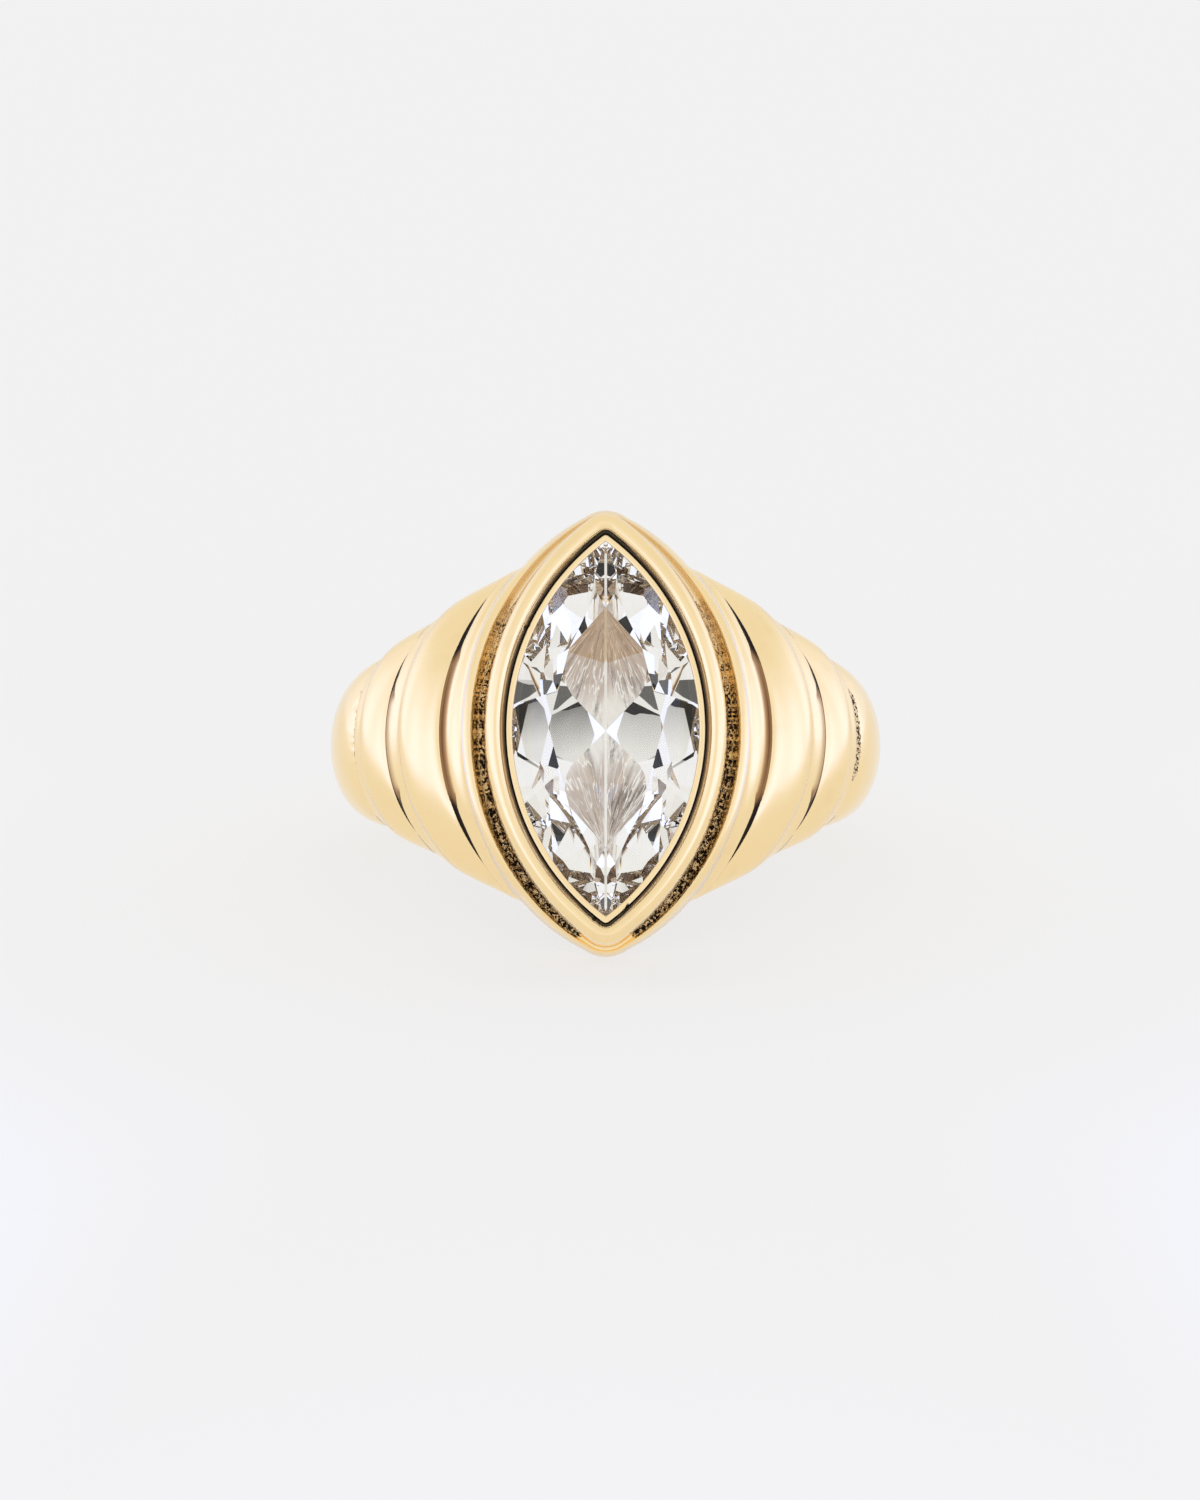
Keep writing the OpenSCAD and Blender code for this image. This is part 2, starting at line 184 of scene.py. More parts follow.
def ring_form(sizes):
    """The lengths that follow from the driving sizes, in millimetres, and angles in radians.

    The stone's outline is two equal arcs, each of radius arc_r with its centre arc_shift past the middle.
    """
    f = SimpleNamespace(**{name: getattr(sizes, name) / MM for name in sizes.__annotations__})
    f.table_share = sizes.table_share
    half_len = f.stone_len / 2
    half_w = f.stone_w / 2
    f.arc_r = (half_len ** 2 + half_w ** 2) / (2 * half_w)
    f.arc_shift = f.arc_r - half_w
    f.point_angle = asin(half_len / f.arc_r)
    f.edge_r = f.finger_r + f.edge_wall
    f.keel_z = f.finger_r + f.keel_gap
    f.girdle_z = f.keel_z + f.pavilion_h
    f.crown_z = f.girdle_z + f.girdle_t
    f.lip_z = f.crown_z + f.lip_rise
    f.lip_out = f.lip_w - f.lip_over
    f.rim_out = f.lip_out + f.rim_w
    f.collar_out = f.rim_out + f.collar_w
    f.point_out = f.rim_out + f.collar_point_w
    f.head_half = half_len + f.point_out
    f.collar_r = f.finger_r + f.collar_wall
    f.collar_edge_z = sqrt(f.collar_r ** 2 - (half_w + f.collar_out) ** 2)
    f.notch_angle = NOTCH_SHARE * f.point_angle
    f.notch = outline(f, f.notch_angle, collar_reach(f, f.notch_angle))
    first, second, third = (radians(angle) for angle in CREASE_ANGLES)
    first_edge = asin(f.notch[0] / f.edge_r) + radians(PAST_NOTCH)
    second_edge, third_edge = (radians(angle) for angle in CREASE_EDGE_ANGLES)
    second_half = blend(f.shoulder_w / 2, f.head_half, SECOND_CREASE_WIDER)
    # A crease: its angle in the middle and at the band's edge, its radius, and half the band's width
    f.creases = [
        (first, first_edge, f.finger_r + f.first_crease_wall, f.notch[1] - UNDER_COLLAR_GAP),
        (second, second_edge, f.finger_r + f.second_crease_wall, second_half),
        (third, third_edge, f.finger_r + f.third_crease_wall, f.shoulder_w / 2),
        (pi, pi, f.finger_r + f.back_wall, f.back_w / 2),
    ]
    return f


def outline(f, angle, out):
    """A place this far outside the stone's outline, in plan, where the outline's normal has this angle.

    Along the arc it is the arc's point plus the normal times the distance. Past the arc's end the point
    stays and the normal swings on, which rounds the corner.
    """
    turn = np.clip(angle, -f.point_angle, f.point_angle)
    x = f.arc_r * np.cos(turn) - f.arc_shift + out * np.cos(angle)
    y = f.arc_r * np.sin(turn) + out * np.sin(angle)
    return np.stack([x, y], -1)


def pointed_outline(f, part, out):
    """The outline drawn in or out by this distance with its points kept sharp, as the seat is cut.

    Both arcs have the radius arc_r + out, and part runs from -1 at the lower point to 1 at the upper one.
    """
    radius = f.arc_r + out
    turn = part * acos(f.arc_shift / radius)
    return np.stack([radius * np.cos(turn) - f.arc_shift, radius * np.sin(turn)], -1)


# How long the collar stays wide before it narrows to the point: a power of the way there
COLLAR_POWER = 3.5


def collar_reach(f, angle):
    """How far the collar's outer edge stands off the stone: wide beside it and narrow at its point."""
    near_point = np.minimum(np.abs(angle) / f.point_angle, 1) ** COLLAR_POWER
    return blend(f.collar_out, f.point_out, near_point)


def head_angles(f, step):
    """The columns' angles from the lower point to the upper one, every step-th of the finest ones.

    From the middle to the notch they follow the sine of equal turns, and past it they are even.
    """
    near = f.notch_angle * np.sin(np.linspace(0, QUARTER, NOTCH_COLUMNS + 1))
    far = np.linspace(f.notch_angle, f.point_angle, FLANK_COLUMNS + 1)[1:]
    tip = np.linspace(f.point_angle, QUARTER, POINT_COLUMNS + 1)[1:]
    half = np.concatenate([near, far, tip])[::step]
    return np.concatenate([-half[:0:-1], half])


# The rim, from the lip outward: share of the way across the rim, and of its height above the lip
RIM_SHAPE = [
    # across, height
    (0, 0), (0.012, 0), (0.02, -0.05), (0.05, -0.05), (0.07, 0.2), (0.16, 0.62), (0.28, 0.88), (0.45, 1),
    (0.62, 0.98), (0.78, 0.86), (0.9, 0.62), (0.97, 0.3), (1, -0.1),
]

# The wall outside the rim, the groove and the collar: share of the way across, and of the height from
# the groove's bottom to the collar's inner edge
COLLAR_SHAPE = [
    # across, height
    (0.004, 1.8), (0.01, 1.0), (0.03, 0.4), (0.1, 0.12), (0.24, 0), (0.38, 0.14), (0.46, 0.55), (0.52, 0.9),
    (0.6, 1),
]

# The collar's outer wall and its foot: share of the way outward, and of the drop
WALL_SHAPE = [
    # outward, drop
    (0.03, 0.16), (0.09, 0.4), (0.18, 0.6), (0.3, 0.71), (0.45, 0.74), (0.6, 0.76), (0.74, 0.84),
    (0.88, 0.96),
]

# One step, from its inner crease to its outer one: share of the way outward, and of the step's height
STEP_SHAPE = [
    # outward, height
    (0.02, 0.22), (0.07, 0.42), (0.15, 0.6), (0.26, 0.81), (0.37, 0.95), (0.46, 1), (0.52, 0.98),
    (0.57, 0.89), (0.605, 0.75), (0.64, 0.58), (0.69, 0.52), (0.78, 0.57), (0.86, 0.6), (0.92, 0.52),
    (0.96, 0.33),
]

# The last step and the band, from the third crease to the back: the same two shares
BAND_SHAPE = [
    # outward, height
    (0.006, 0.25), (0.018, 0.5), (0.035, 0.75), (0.06, 0.95), (0.09, 1), (0.13, 0.98), (0.18, 0.9),
    (0.24, 0.78), (0.3, 0.62), (0.37, 0.44), (0.44, 0.28), (0.51, 0.16), (0.58, 0.08), (0.65, 0.03),
    (0.72, 0), (0.79, 0), (0.86, 0), (0.93, 0),
]

# Height of the collar's inner edge above its outer edge, and the two lines on the round between them
COLLAR_EDGE_RISE = 0.12
COLLAR_ROUND_TURNS = (30, 60)

# At the band's edge a step's lines spread by this power of the way outward, and bulge sideways by this
# share of the step's height
EDGE_SPREAD_POWER = 0.45
EDGE_BULGE = 0.25

# Counts of lines across the smooth stretches of the band: the collar's wall, the first two steps, the rest
STRETCH_LINES = (18, 34, 28, 44)
SAMPLES_PER_ROW = 80


def rim_row(f, angles, across, height):
    """One line round the rim, at these shares of the rim's width and of its height above the lip."""
    place = outline(f, angles, f.lip_out + f.rim_w * across)
    return np.column_stack([place, np.full(len(angles), f.lip_z + f.rim_rise * height)])


def collar_row(f, angles, across, height):
    """One line round the groove and the collar, which fall towards the stone's points.

    The inner edge falls with the square of the way along the head, and the groove's depth runs out with
    its cube.
    """
    place = outline(f, angles, blend(f.rim_out, collar_reach(f, angles), across))
    along = np.abs(place[:, 1]) / f.head_half
    inner_z = blend(f.collar_edge_z + COLLAR_EDGE_RISE, f.edge_r + f.point_rise, along ** 2)
    bottom_z = inner_z - f.groove_depth * (1 - along ** 3)
    return np.column_stack([place, blend(bottom_z, inner_z, height)])


def collar_edge(f, angles):
    """The collar's outer edge. It drops to the band's edge at the notch and follows it to the point.

    Its distance from the hole's axis falls in an ellipse from the middle to the notch.
    """
    place = outline(f, angles, collar_reach(f, angles))
    notch_part = np.minimum(np.abs(angles) / f.notch_angle, 1)
    radius = blend(f.edge_r, f.collar_r, np.sqrt(1 - notch_part ** 2))
    return np.column_stack([place, np.sqrt(radius ** 2 - place[:, 0] ** 2)])


def collar_round_row(f, angles, turn):
    """A line on the quarter ellipse between the collar's inner edge and its outer edge."""
    top = collar_row(f, angles, *COLLAR_SHAPE[-1])
    edge = collar_edge(f, angles)
    place = blend(top[:, :2], edge[:, :2], sin(turn))
    return np.column_stack([place, blend(edge[:, 2], top[:, 2], cos(turn))])


def band_row(f, turns, middle, edge, radius, half):
    """One line across the band.

    It leans from one angle in the middle to another at the edge with the square of the way across, and its
    height falls in an ellipse from the radius in the middle to the band's edge.
    """
    across = np.sin(turns)
    return around(blend(middle, edge, across ** 2), blend(f.edge_r, radius, np.cos(turns)), half * across)


def wall_row(edge_line, foot_line, outward, drop):
    """A line on the collar's outer wall, blended in polar coordinates between its edge and its foot."""
    r_edge, r_foot = (np.hypot(line[:, 0], line[:, 2]) for line in (edge_line, foot_line))
    a_edge, a_foot = (np.arctan2(line[:, 0], line[:, 2]) for line in (edge_line, foot_line))
    y = blend(edge_line[:, 1], foot_line[:, 1], outward)
    return around(blend(a_edge, a_foot, outward), blend(r_edge, r_foot, drop), y)


def step_row(f, turns, inner, outer, rise, outward, height):
    """A line on a step, part of the way from its inner crease to its outer one, and raised.

    The lines spread at the band's edge, where the step bulges sideways a little, as half a sine wave.
    """
    at_edge = outward ** EDGE_SPREAD_POWER
    return band_row(
        f, turns,
        blend(inner[0], outer[0], outward),
        blend(inner[1], outer[1], at_edge),
        blend(inner[2], outer[2], outward) + rise * height,
        blend(inner[3], outer[3], at_edge) + rise * height * EDGE_BULGE * sin(pi * at_edge),
    )


def plain_row(f, turns, inner, outer, rise, outward, height):
    """A line on the last step and the plain band, which narrows and thins smoothly to the back.

    Its thickness follows half a cosine wave, and its width the square of what is left of the way.
    """
    left = 1 - outward
    return band_row(
        f, turns,
        blend(inner[0], outer[0], outward),
        blend(inner[1], outer[1], outward),
        blend(outer[2], inner[2], (1 - cos(pi * left)) / 2) + rise * height,
        blend(outer[3], inner[3], left * left),
    )


def flowing(rows, count):
    """Count lines on the smooth surface that these rows control, the first and last among them.

    Across the rows each column is a uniform cubic B-spline that starts and ends on its end rows. The lines
    are evenly spaced along the middle column.
    """
    rows = np.asarray(rows)
    last = len(rows) - 1

    def weights(u):
        """The four basis functions of a cubic B-spline, as each row's share of each place u."""
        start = np.minimum(u.astype(int), last + 1)
        t = u - start
        shares = [(1 - t) ** 3, 3 * t ** 3 - 6 * t ** 2 + 4, -3 * t ** 3 + 3 * t ** 2 + 3 * t + 1, t ** 3]
        table = np.zeros((len(u), last + 1))
        for k, part in enumerate(shares):
            np.add.at(table, (np.arange(len(u)), np.clip(start - 2 + k, 0, last)), part / 6)
        return table

    fine = np.linspace(0, last + 2, SAMPLES_PER_ROW * (last + 2))
    line = weights(fine) @ rows[:, rows.shape[1] // 2]
    walked = np.concatenate([[0], np.cumsum(np.linalg.norm(np.diff(line, axis=0), axis=1))])
    places = np.interp(np.linspace(0, 1, count), walked / walked[-1], fine)
    return np.einsum("ij,jkl->ikl", weights(places), rows)


class Skin:
    """Gathers patches of one closed surface and welds them.

    A point is its place and four values that tell how the metal looks there, in millimetres except the
    second: how far it lies inside a dark slit, which is painted shade in a crease, how black that painted
    shade is, how far it lies inside a gritty streak, and how far inside a worn edge, which along the collar's
    and steps' edges is also a painted highlight. Patches of plain polished metal leave them out.
    """

    plain = (-1, 0, -1, -1)
    # Points are welded where they lie in the same cell of this many to a millimetre. The shift keeps round
    # coordinates off the cells' borders
    cells_per_mm = 1e5
    cell_shift = 0.123

    def __init__(self):
        self.points = []
        self.faces = []
        self.count = 0

    def add(self, points, faces, mirror_x, mirror_y, flip):
        """A patch. Its faces turn over if it is flipped, and once for each axis that it is mirrored on."""
        flat = points.reshape(-1, points.shape[-1])
        if flat.shape[1] == 3:
            flat = np.column_stack([flat, np.tile(self.plain, (len(flat), 1))])
        if flip ^ mirror_x ^ mirror_y:
            faces = faces[:, ::-1]
        self.points.append(flat * [-1 if mirror_x else 1, -1 if mirror_y else 1, 1, 1, 1, 1, 1])
        self.faces.append(faces + self.count)
        self.count += len(flat)

    def add_grid(self, points, mirror_x=False, mirror_y=False, flip=False):
        """Two triangles for each cell of a grid of points."""
        ids = np.arange(points.shape[0] * points.shape[1]).reshape(points.shape[:2])
        a, b, c, d = ids[:-1, :-1], ids[:-1, 1:], ids[1:, 1:], ids[1:, :-1]
        faces = np.concatenate([np.stack(corners, -1).reshape(-1, 3) for corners in ((a, c, b), (a, d, c))])
        self.add(points, faces, mirror_x, mirror_y, flip)

    def add_stitch(self, coarse, fine, mirror_x=False, flip=False):
        """Triangles between a line of points and one with twice as many cells."""
        ids = np.arange(len(coarse) + len(fine))
        start, end = ids[:len(coarse) - 1], ids[1:len(coarse)]
        far = ids[len(coarse):]
        p, q, r = far[:-2:2], far[1::2], far[2::2]
        triangles = ((start, p, q), (start, q, end), (end, q, r))
        faces = np.concatenate([np.stack(corners, -1) for corners in triangles])
        self.add(np.concatenate([coarse, fine]), faces, mirror_x, False, flip)

    def welded(self):
        """The points with doubles joined, each with its greatest values, and the faces with three corners."""
        table = np.vstack(self.points)
        keys = np.round(table[:, :3] * self.cells_per_mm + self.cell_shift).astype(np.int64)
        _, first, number = np.unique(keys, axis=0, return_index=True, return_inverse=True)
        number = number.reshape(-1)
        for column in range(3, table.shape[1]):
            greatest = np.full(len(first), -9.0)
            np.maximum.at(greatest, number, table[:, column])
            table[first, column] = greatest
        faces = number[np.vstack(self.faces)]
        whole = (faces[:, 0] != faces[:, 1]) & (faces[:, 1] != faces[:, 2]) & (faces[:, 2] != faces[:, 0])
        return table[first], faces[whole]


def corner_normals(points, faces):
    """Each point's normal: the sum of its triangles' normals, each as long as twice the area."""
    a, b, c = (points[faces[:, k]] for k in range(3))
    flat = np.cross(b - a, c - a)
    total = np.stack([
        sum(np.bincount(faces[:, k], flat[:, axis], len(points)) for k in range(3)) for axis in range(3)
    ], -1)
    return total / np.maximum(np.linalg.norm(total, axis=1, keepdims=True), 1e-12)


def hashed(cells, seed):
    """A fixed random number from 0 to 1 for each whole-numbered cell, from products with large primes."""
    n = cells.astype(np.int64)
    mixed = (n[..., 0] * 73856093) ^ (n[..., 1] * 19349663) ^ (n[..., 2] * 83492791) ^ (seed * 40503)
    mixed = (mixed ^ (mixed >> 13)) * 1274126177
    mixed = (mixed ^ (mixed >> 16)) & 0xFFFFFF
    return mixed / 0xFFFFFF


def cloud(points, size, seed):
    """Smooth value noise from 0 to 1: random numbers at the corners of cells of this size, blended."""
    scaled = points / size
    low = np.floor(scaled)
    part = scaled - low
    part = part * part * (3 - 2 * part)
    total = 0
    for corner in np.ndindex(2, 2, 2):
        weight = np.prod(np.where(np.array(corner), part, 1 - part), axis=-1)
        total = total + weight * hashed(low + corner, seed)
    return total


def nearest_spot(points, size, seed):
    """Distance to the nearest of the spots scattered one to a cell, in cells."""
    scaled = points / size
    low = np.floor(scaled)
    best = np.full(len(points), 9.0)
    for step in np.ndindex(3, 3, 3):
        cell = low + np.array(step) - 1
        spot = cell + np.stack([hashed(cell, seed + axis) for axis in range(3)], -1)
        best = np.minimum(best, np.linalg.norm(scaled - spot, axis=-1))
    return best


def to_frame(points):
    """Tips the ring over into its place: local Y becomes the finger hole's axis, and the head faces -Y."""
    up = np.array(hole["axis"])
    across = np.array([1.0, 0, 0])
    ahead = np.cross(across, up)
    turned = points @ np.stack([across, up, ahead])
    return turned * MM * SLIM + np.array(hole["pos_m"])


def add_object(name, data):
    """Puts data into the scene as an object at the origin."""
    item = bpy.data.objects.new(name, data)
    bpy.context.scene.collection.objects.link(item)
    return item


def head_lines(f, angles):
    """The control lines of the head, from the lip to the collar's edge."""
    return (
        [rim_row(f, angles, *shape) for shape in RIM_SHAPE]
        + [collar_row(f, angles, *shape) for shape in COLLAR_SHAPE]
        + [collar_round_row(f, angles, radians(turn)) for turn in COLLAR_ROUND_TURNS]
        + [collar_edge(f, angles)]
    )


def band_lines(f):
    """The smooth stretches of the band, from the collar's edge to the back, as fine lines across it.

    Each stretch ends in a crease, which stays sharp.
    """
    turns = np.linspace(-QUARTER, QUARTER, NOTCH_COLUMNS // 2 + 1)
    edge_line = collar_edge(f, f.notch_angle * np.sin(turns))
    creases = [band_row(f, turns, *crease) for crease in f.creases]
    wall = [wall_row(edge_line, creases[0], *shape) for shape in WALL_SHAPE]
    steps = [
        [step_row(f, turns, f.creases[k], f.creases[k + 1], rise, *shape) for shape in STEP_SHAPE]
        for k, rise in enumerate((f.first_step, f.second_step))
    ]
    last = [plain_row(f, turns, f.creases[2], f.creases[3], f.third_step, *shape) for shape in BAND_SHAPE]
    # The line at the back lies on the mirror plane
    creases[3][:, 0] = 0
    ends = [edge_line, *creases]
    return [
        with_values(flowing([ends[k], *rows, ends[k + 1]], STRETCH_LINES[k]), k)
        for k, rows in enumerate((wall, *steps, last))
    ]


# The dark slits in the first two creases are painted shade: a brown stretch of painted shade and painted
# dark reflection, and black spindles of painted shade with some tarnish near their ends. The table gives
# where they end along the finger's axis, where the black spindles near their ends begin, and how wide the
# spindles and the brown stretch between them are on the inner side
SLITS = [
    # low end, high end, low spindle, high spindle, spindle width, middle width
    (-4.85, 5.05, -2.5, 2.9, 0.15, 0.42),
    (-3.8, 3.55, -2.2, 1.6, 0.52, 0.85),
]
SLIT_OUTER_W = 0.07
SLIT_SPINDLE_OUTER_W = 0.1
# A slit's ends taper over this length, by this power of the way, and its very tips are closed
SLIT_TAPER = 1.3
SLIT_TAPER_POWER = 0.7
SLIT_TIP = 0.02
# A spindle comes up from this far before its place in the table to this far past it
SPINDLE_BEFORE = 0.5
SPINDLE_PAST = 0.4
# How black the brown stretch of painted shade is on the crease's outer side, and at the crease on its inner
# side, where it fades away from the crease by this power
BROWN_OUTER = 0.6
BROWN_INNER = 0.64
BROWN_POWER = 0.8

# The gritty streak along the third crease: its ends, its width on the crease's two sides, and its taper
STREAK_LOW, STREAK_HIGH = -1.85, 2.2
STREAK_INNER_W, STREAK_OUTER_W = 0.36, 0.42
STREAK_TAPER = 0.5

# A step's edge, where its top ends and its outer wall begins, as a share of the way outward
STEP_EDGE = 0.61
# Half the width of the pale line along the collar's edge and each step's edge, painted as a highlight
EDGE_HIGHLIGHT_HALF_W = 0.085


def slit_beside(slit, y, distance, outer):
    """How far inside one side of a slit each point lies, and how black the slit's painted shade is there.

    The width blends from the middle stretch's to the spindles', and tapers to the slit's ends.
    """
    low, high, low_spindle, high_spindle, spindle_w, middle_w = slit
    if outer:
        spindle_w, middle_w = SLIT_SPINDLE_OUTER_W, SLIT_OUTER_W
    ends = np.clip(np.minimum(y - low, high - y) / SLIT_TAPER, 0, 1) ** SLIT_TAPER_POWER - SLIT_TIP
    spindle = np.maximum(
        ramp(-y, -low_spindle - SPINDLE_BEFORE, -low_spindle + SPINDLE_PAST),
        ramp(y, high_spindle - SPINDLE_BEFORE, high_spindle + SPINDLE_PAST),
    )
    inside = ends * blend(middle_w, spindle_w, spindle) - distance
    brown = BROWN_OUTER if outer else BROWN_INNER * np.clip(inside / middle_w, 0, 1) ** BROWN_POWER
    return inside, blend(brown, 1.0, spindle)


def with_values(stretch, number):
    """Adds the four values to a stretch of the band, from the distances to its creases and its edge."""
    gaps = np.linalg.norm(np.diff(stretch, axis=0), axis=2)
    from_start = np.concatenate([np.zeros((1, stretch.shape[1])), np.cumsum(gaps, axis=0)])
    total = from_start[-1]
    slit, black, streak, worn = (np.full(from_start.shape, float(value)) for value in Skin.plain)
    # Each crease with the distance from it, its line, and whether the stretch is its outer side
    sides = [(number - 1, from_start, 0, True), (number, total - from_start, -1, False)]
    for crease, distance, line, outer in sides:
        y = stretch[line, :, 1]
        if crease == len(SLITS):
            taper = np.minimum(np.minimum(y - STREAK_LOW, STREAK_HIGH - y) / STREAK_TAPER, 1)
            streak = np.maximum(streak, (STREAK_OUTER_W if outer else STREAK_INNER_W) * taper - distance)
        elif 0 <= crease < len(SLITS):
            # Painted shade in this crease's dark slit: brown in the middle, black at the spindles
            inside, shade = slit_beside(SLITS[crease], y, distance, outer)
            black = np.where(inside > slit, shade, black)
            slit = np.maximum(slit, inside)
    # A pale line along the collar's edge and each step's edge, painted as a highlight and drawn as worn plate
    if number == 0:
        worn = EDGE_HIGHLIGHT_HALF_W - from_start
    elif number in (1, 2):
        middle = stretch.shape[1] // 2
        turn = np.arctan2(stretch[:, middle, 0], stretch[:, middle, 2])
        way = (turn - turn[0]) / (turn[-1] - turn[0])
        edge = np.interp(STEP_EDGE, way, from_start[:, middle]) / total[middle]
        worn = EDGE_HIGHLIGHT_HALF_W - np.abs(from_start - edge * total)
    return np.dstack([stretch, slit, black, streak, worn])


# Radius of the small round between the band's sides and the finger hole, and its lines, in degrees
HOLE_ROUND = 0.14
HOLE_ROUND_TURNS = (22.5, 45, 67.5, 90)
SIDE_SHARES = (0, 0.25, 0.6, 1)
WALL_LINES = 11
# How far inside a worn edge the metal lies where the plate is rubbed thin all over
RUBBED = 0.2
# Radius of the lip's small round over the stone
LIP_ROUND = 0.03


def rubbed_thin(rows, plated):
    """A grid of these rows whose plate is rubbed thin, but for a slice of plated rows."""
    grid = np.stack(rows)
    slit, black, streak, worn = (np.full(grid.shape[:2], value) for value in (*Skin.plain[:3], RUBBED))
    worn[plated] = Skin.plain[3]
    return np.dstack([grid, slit, black, streak, worn])


def flank_curve(f, tip_columns, band):
    """The band's upper edge from the point of the head to the back, as one line of points."""
    head = collar_edge(f, tip_columns[::-1])
    rows = np.concatenate([stretch[min(k, 1):, -1, :3] for k, stretch in enumerate(band)])
    return np.concatenate([head, rows[1:]])


def add_flanks(f, skin, band):
    """The band's sides and the finger hole, for each quarter.

    A side runs straight in from the edge towards the hole's axis, then turns into the hole on a small
    quarter round. The hole's wall is ruled between that line and its inner line, which follows the seat's
    opening from its point to its middle and then the middle of the band to the back.
    """
    angles = head_angles(f, 4)
    middle = len(angles) // 2
    notch = middle + NOTCH_COLUMNS // 4
    curve = flank_curve(f, angles[notch:], band)
    turn = np.arctan2(curve[:, 0], curve[:, 2])
    turn[-1] = pi
    radius = np.hypot(curve[:, 0], curve[:, 2])
    half = curve[:, 1]
    sides = [around(turn, blend(radius, f.finger_r + HOLE_ROUND, part), half) for part in SIDE_SHARES]
    sides += [
        around(turn, f.finger_r + HOLE_ROUND * (1 - sin(a)), half - HOLE_ROUND * (1 - cos(a)))
        for a in np.radians(HOLE_ROUND_TURNS)
    ]
    opening = pointed_outline(f, np.linspace(1, 0, middle + 1), -f.ledge_w)
    opening_turn = np.arcsin(opening[:, 0] / f.finger_r)
    rest = len(curve) - len(opening)
    inner_turn = np.concatenate([opening_turn, np.linspace(opening_turn[-1], pi, rest + 1)[1:]])
    inner_half = np.concatenate([opening[:, 1], np.zeros(rest)])
    wall = [
        around(blend(turn, inner_turn, part), f.finger_r, blend(half - HOLE_ROUND, inner_half, part))
        for part in np.linspace(0, 1, WALL_LINES)
    ]
    # The plate is kept on the sides and rubbed thin inside the finger hole, from the round on
    grid = rubbed_thin([*sides, *wall[1:]], slice(0, len(SIDE_SHARES)))
    for sign_x, sign_y in QUARTERS:
        skin.add_grid(grid, sign_x < 0, sign_y < 0, flip=True)


def add_seat(f, skin):
    """The stone's seat, from the finger hole up to the lip and out to the foot of the rim.

    Each row is the stone's outline, drawn in or out with its points kept sharp, at one height.
    """
    angles = head_angles(f, 4)
    part = np.linspace(-1, 1, len(angles))
    ledge_z = f.girdle_z - f.stone_gap
    foot_z = ledge_z - (f.ledge_w + f.stone_gap) * f.pavilion_h / (f.stone_w / 2)
    profile = [
        # out, z
        (-f.ledge_w, blend(f.finger_r, foot_z, 0.5)),
        (-f.ledge_w, foot_z),
        (blend(-f.ledge_w, f.stone_gap, 0.5), blend(foot_z, ledge_z, 0.5)),
        (f.stone_gap, ledge_z),
        (f.stone_gap, f.crown_z + f.stone_gap),
        (-f.lip_over, f.crown_z + 2 * f.stone_gap),
        (-f.lip_over, f.lip_z - LIP_ROUND),
        (-f.lip_over + LIP_ROUND / 3, f.lip_z - LIP_ROUND / 3),
        (-f.lip_over + LIP_ROUND, f.lip_z),
    ]
    opening = pointed_outline(f, part, -f.ledge_w)
    rows = [np.column_stack([opening, np.sqrt(f.finger_r ** 2 - opening[:, 0] ** 2)])]
    for out, z in profile:
        rows.append(np.column_stack([pointed_outline(f, part, out), np.full(len(part), z)]))
    rim = rim_row(f, angles, *RIM_SHAPE[0])
    rows.append(blend(rows[-1], rim, 0.5))
    rows.append(rim)
    # Only the lip's last four rows are well plated
    grid = rubbed_thin(rows, slice(-4, None))
    for mirror_x in (False, True):
        skin.add_grid(grid, mirror_x)


# Small marks on the rim's inner edge: place across and along the head, radius, and height or depth
MARKS = [
    # x, y, radius, height
    (0.65, -6.66, 0.13, 0.09), (0.49, -6.86, 0.1, 0.05), (-0.42, -7.03, 0.12, -0.08),
    (-2.98, 3.72, 0.09, -0.06), (-2.93, 3.9, 0.07, 0.03),
]

# The groove is pitted over the first of these widths in its upper part and over the second in its lower
# part, and over a share of that at the points. The ramps say where along the head it changes
PITTED_W = (0.24, 0.4)
PITTED_LOWER = (-1.5, 5.5)
PITTED_POINT_SHARE = 0.55
PITTED_POINT = (5.6, 7.6)
# The pitted stretch ends short of both points
PITTED_ENDS = [
    # side, ramp's start and end along the head, how far it draws back
    (1, 3.9, 6.6, 0.32), (-1, 7.4, 7.9, 0.25),
]
# How ragged the pitted stretch's edge is, in waves of this size
RAGGED_W = 0.08
RAGGED_SIZE = 0.4
# The pits and the grit between them: size, depth, and share of the darkness
PIT_SIZE, PIT_DEPTH, PIT_DARK = 0.15, 0.055, 0.5
GRIT_SIZE, GRIT_DEPTH, GRIT_DARK = 0.06, 0.03, 0.6
# A pit's bottom and its brim, in cells from its middle. The pits are a little longer than wide
PIT_SLOPE = (0.2, 0.75)
PIT_STRETCH = (1, 0.8, 1)
# The polishing reached this share of the groove's dark at its upper point, and more and more towards it
POLISHED_SHARE = 0.65
POLISHED_UPWARD = (0, 5.5)
# The streak's darkness between its pits, and how much its pits add
STREAK_DARK = (0.42, 0.35)
STREAK_LEFT_NARROWER = 0.22

# The dark line between the lip and the rim, a painted reflection of black in the bevel there: its width, and
# how much wider it grows towards both points
RIM_LINE_W = 0.15
RIM_LINE_ENDS = [
    # side, ramp's start and end along the head, how much wider
    (1, 6.3, 7.1, 0.08), (-1, 6.4, 7.1, 0.08),
]
# It begins this far inside the lip's edge, and ends at this share of the rim's height
RIM_LINE_START = 0.03
RIM_LINE_TOP = 0.75
# Its outer side is brown, and it is black from the second of these distances inward
RIM_LINE_BROWN = 0.5
RIM_LINE_FADE = (0.02, 0.06)

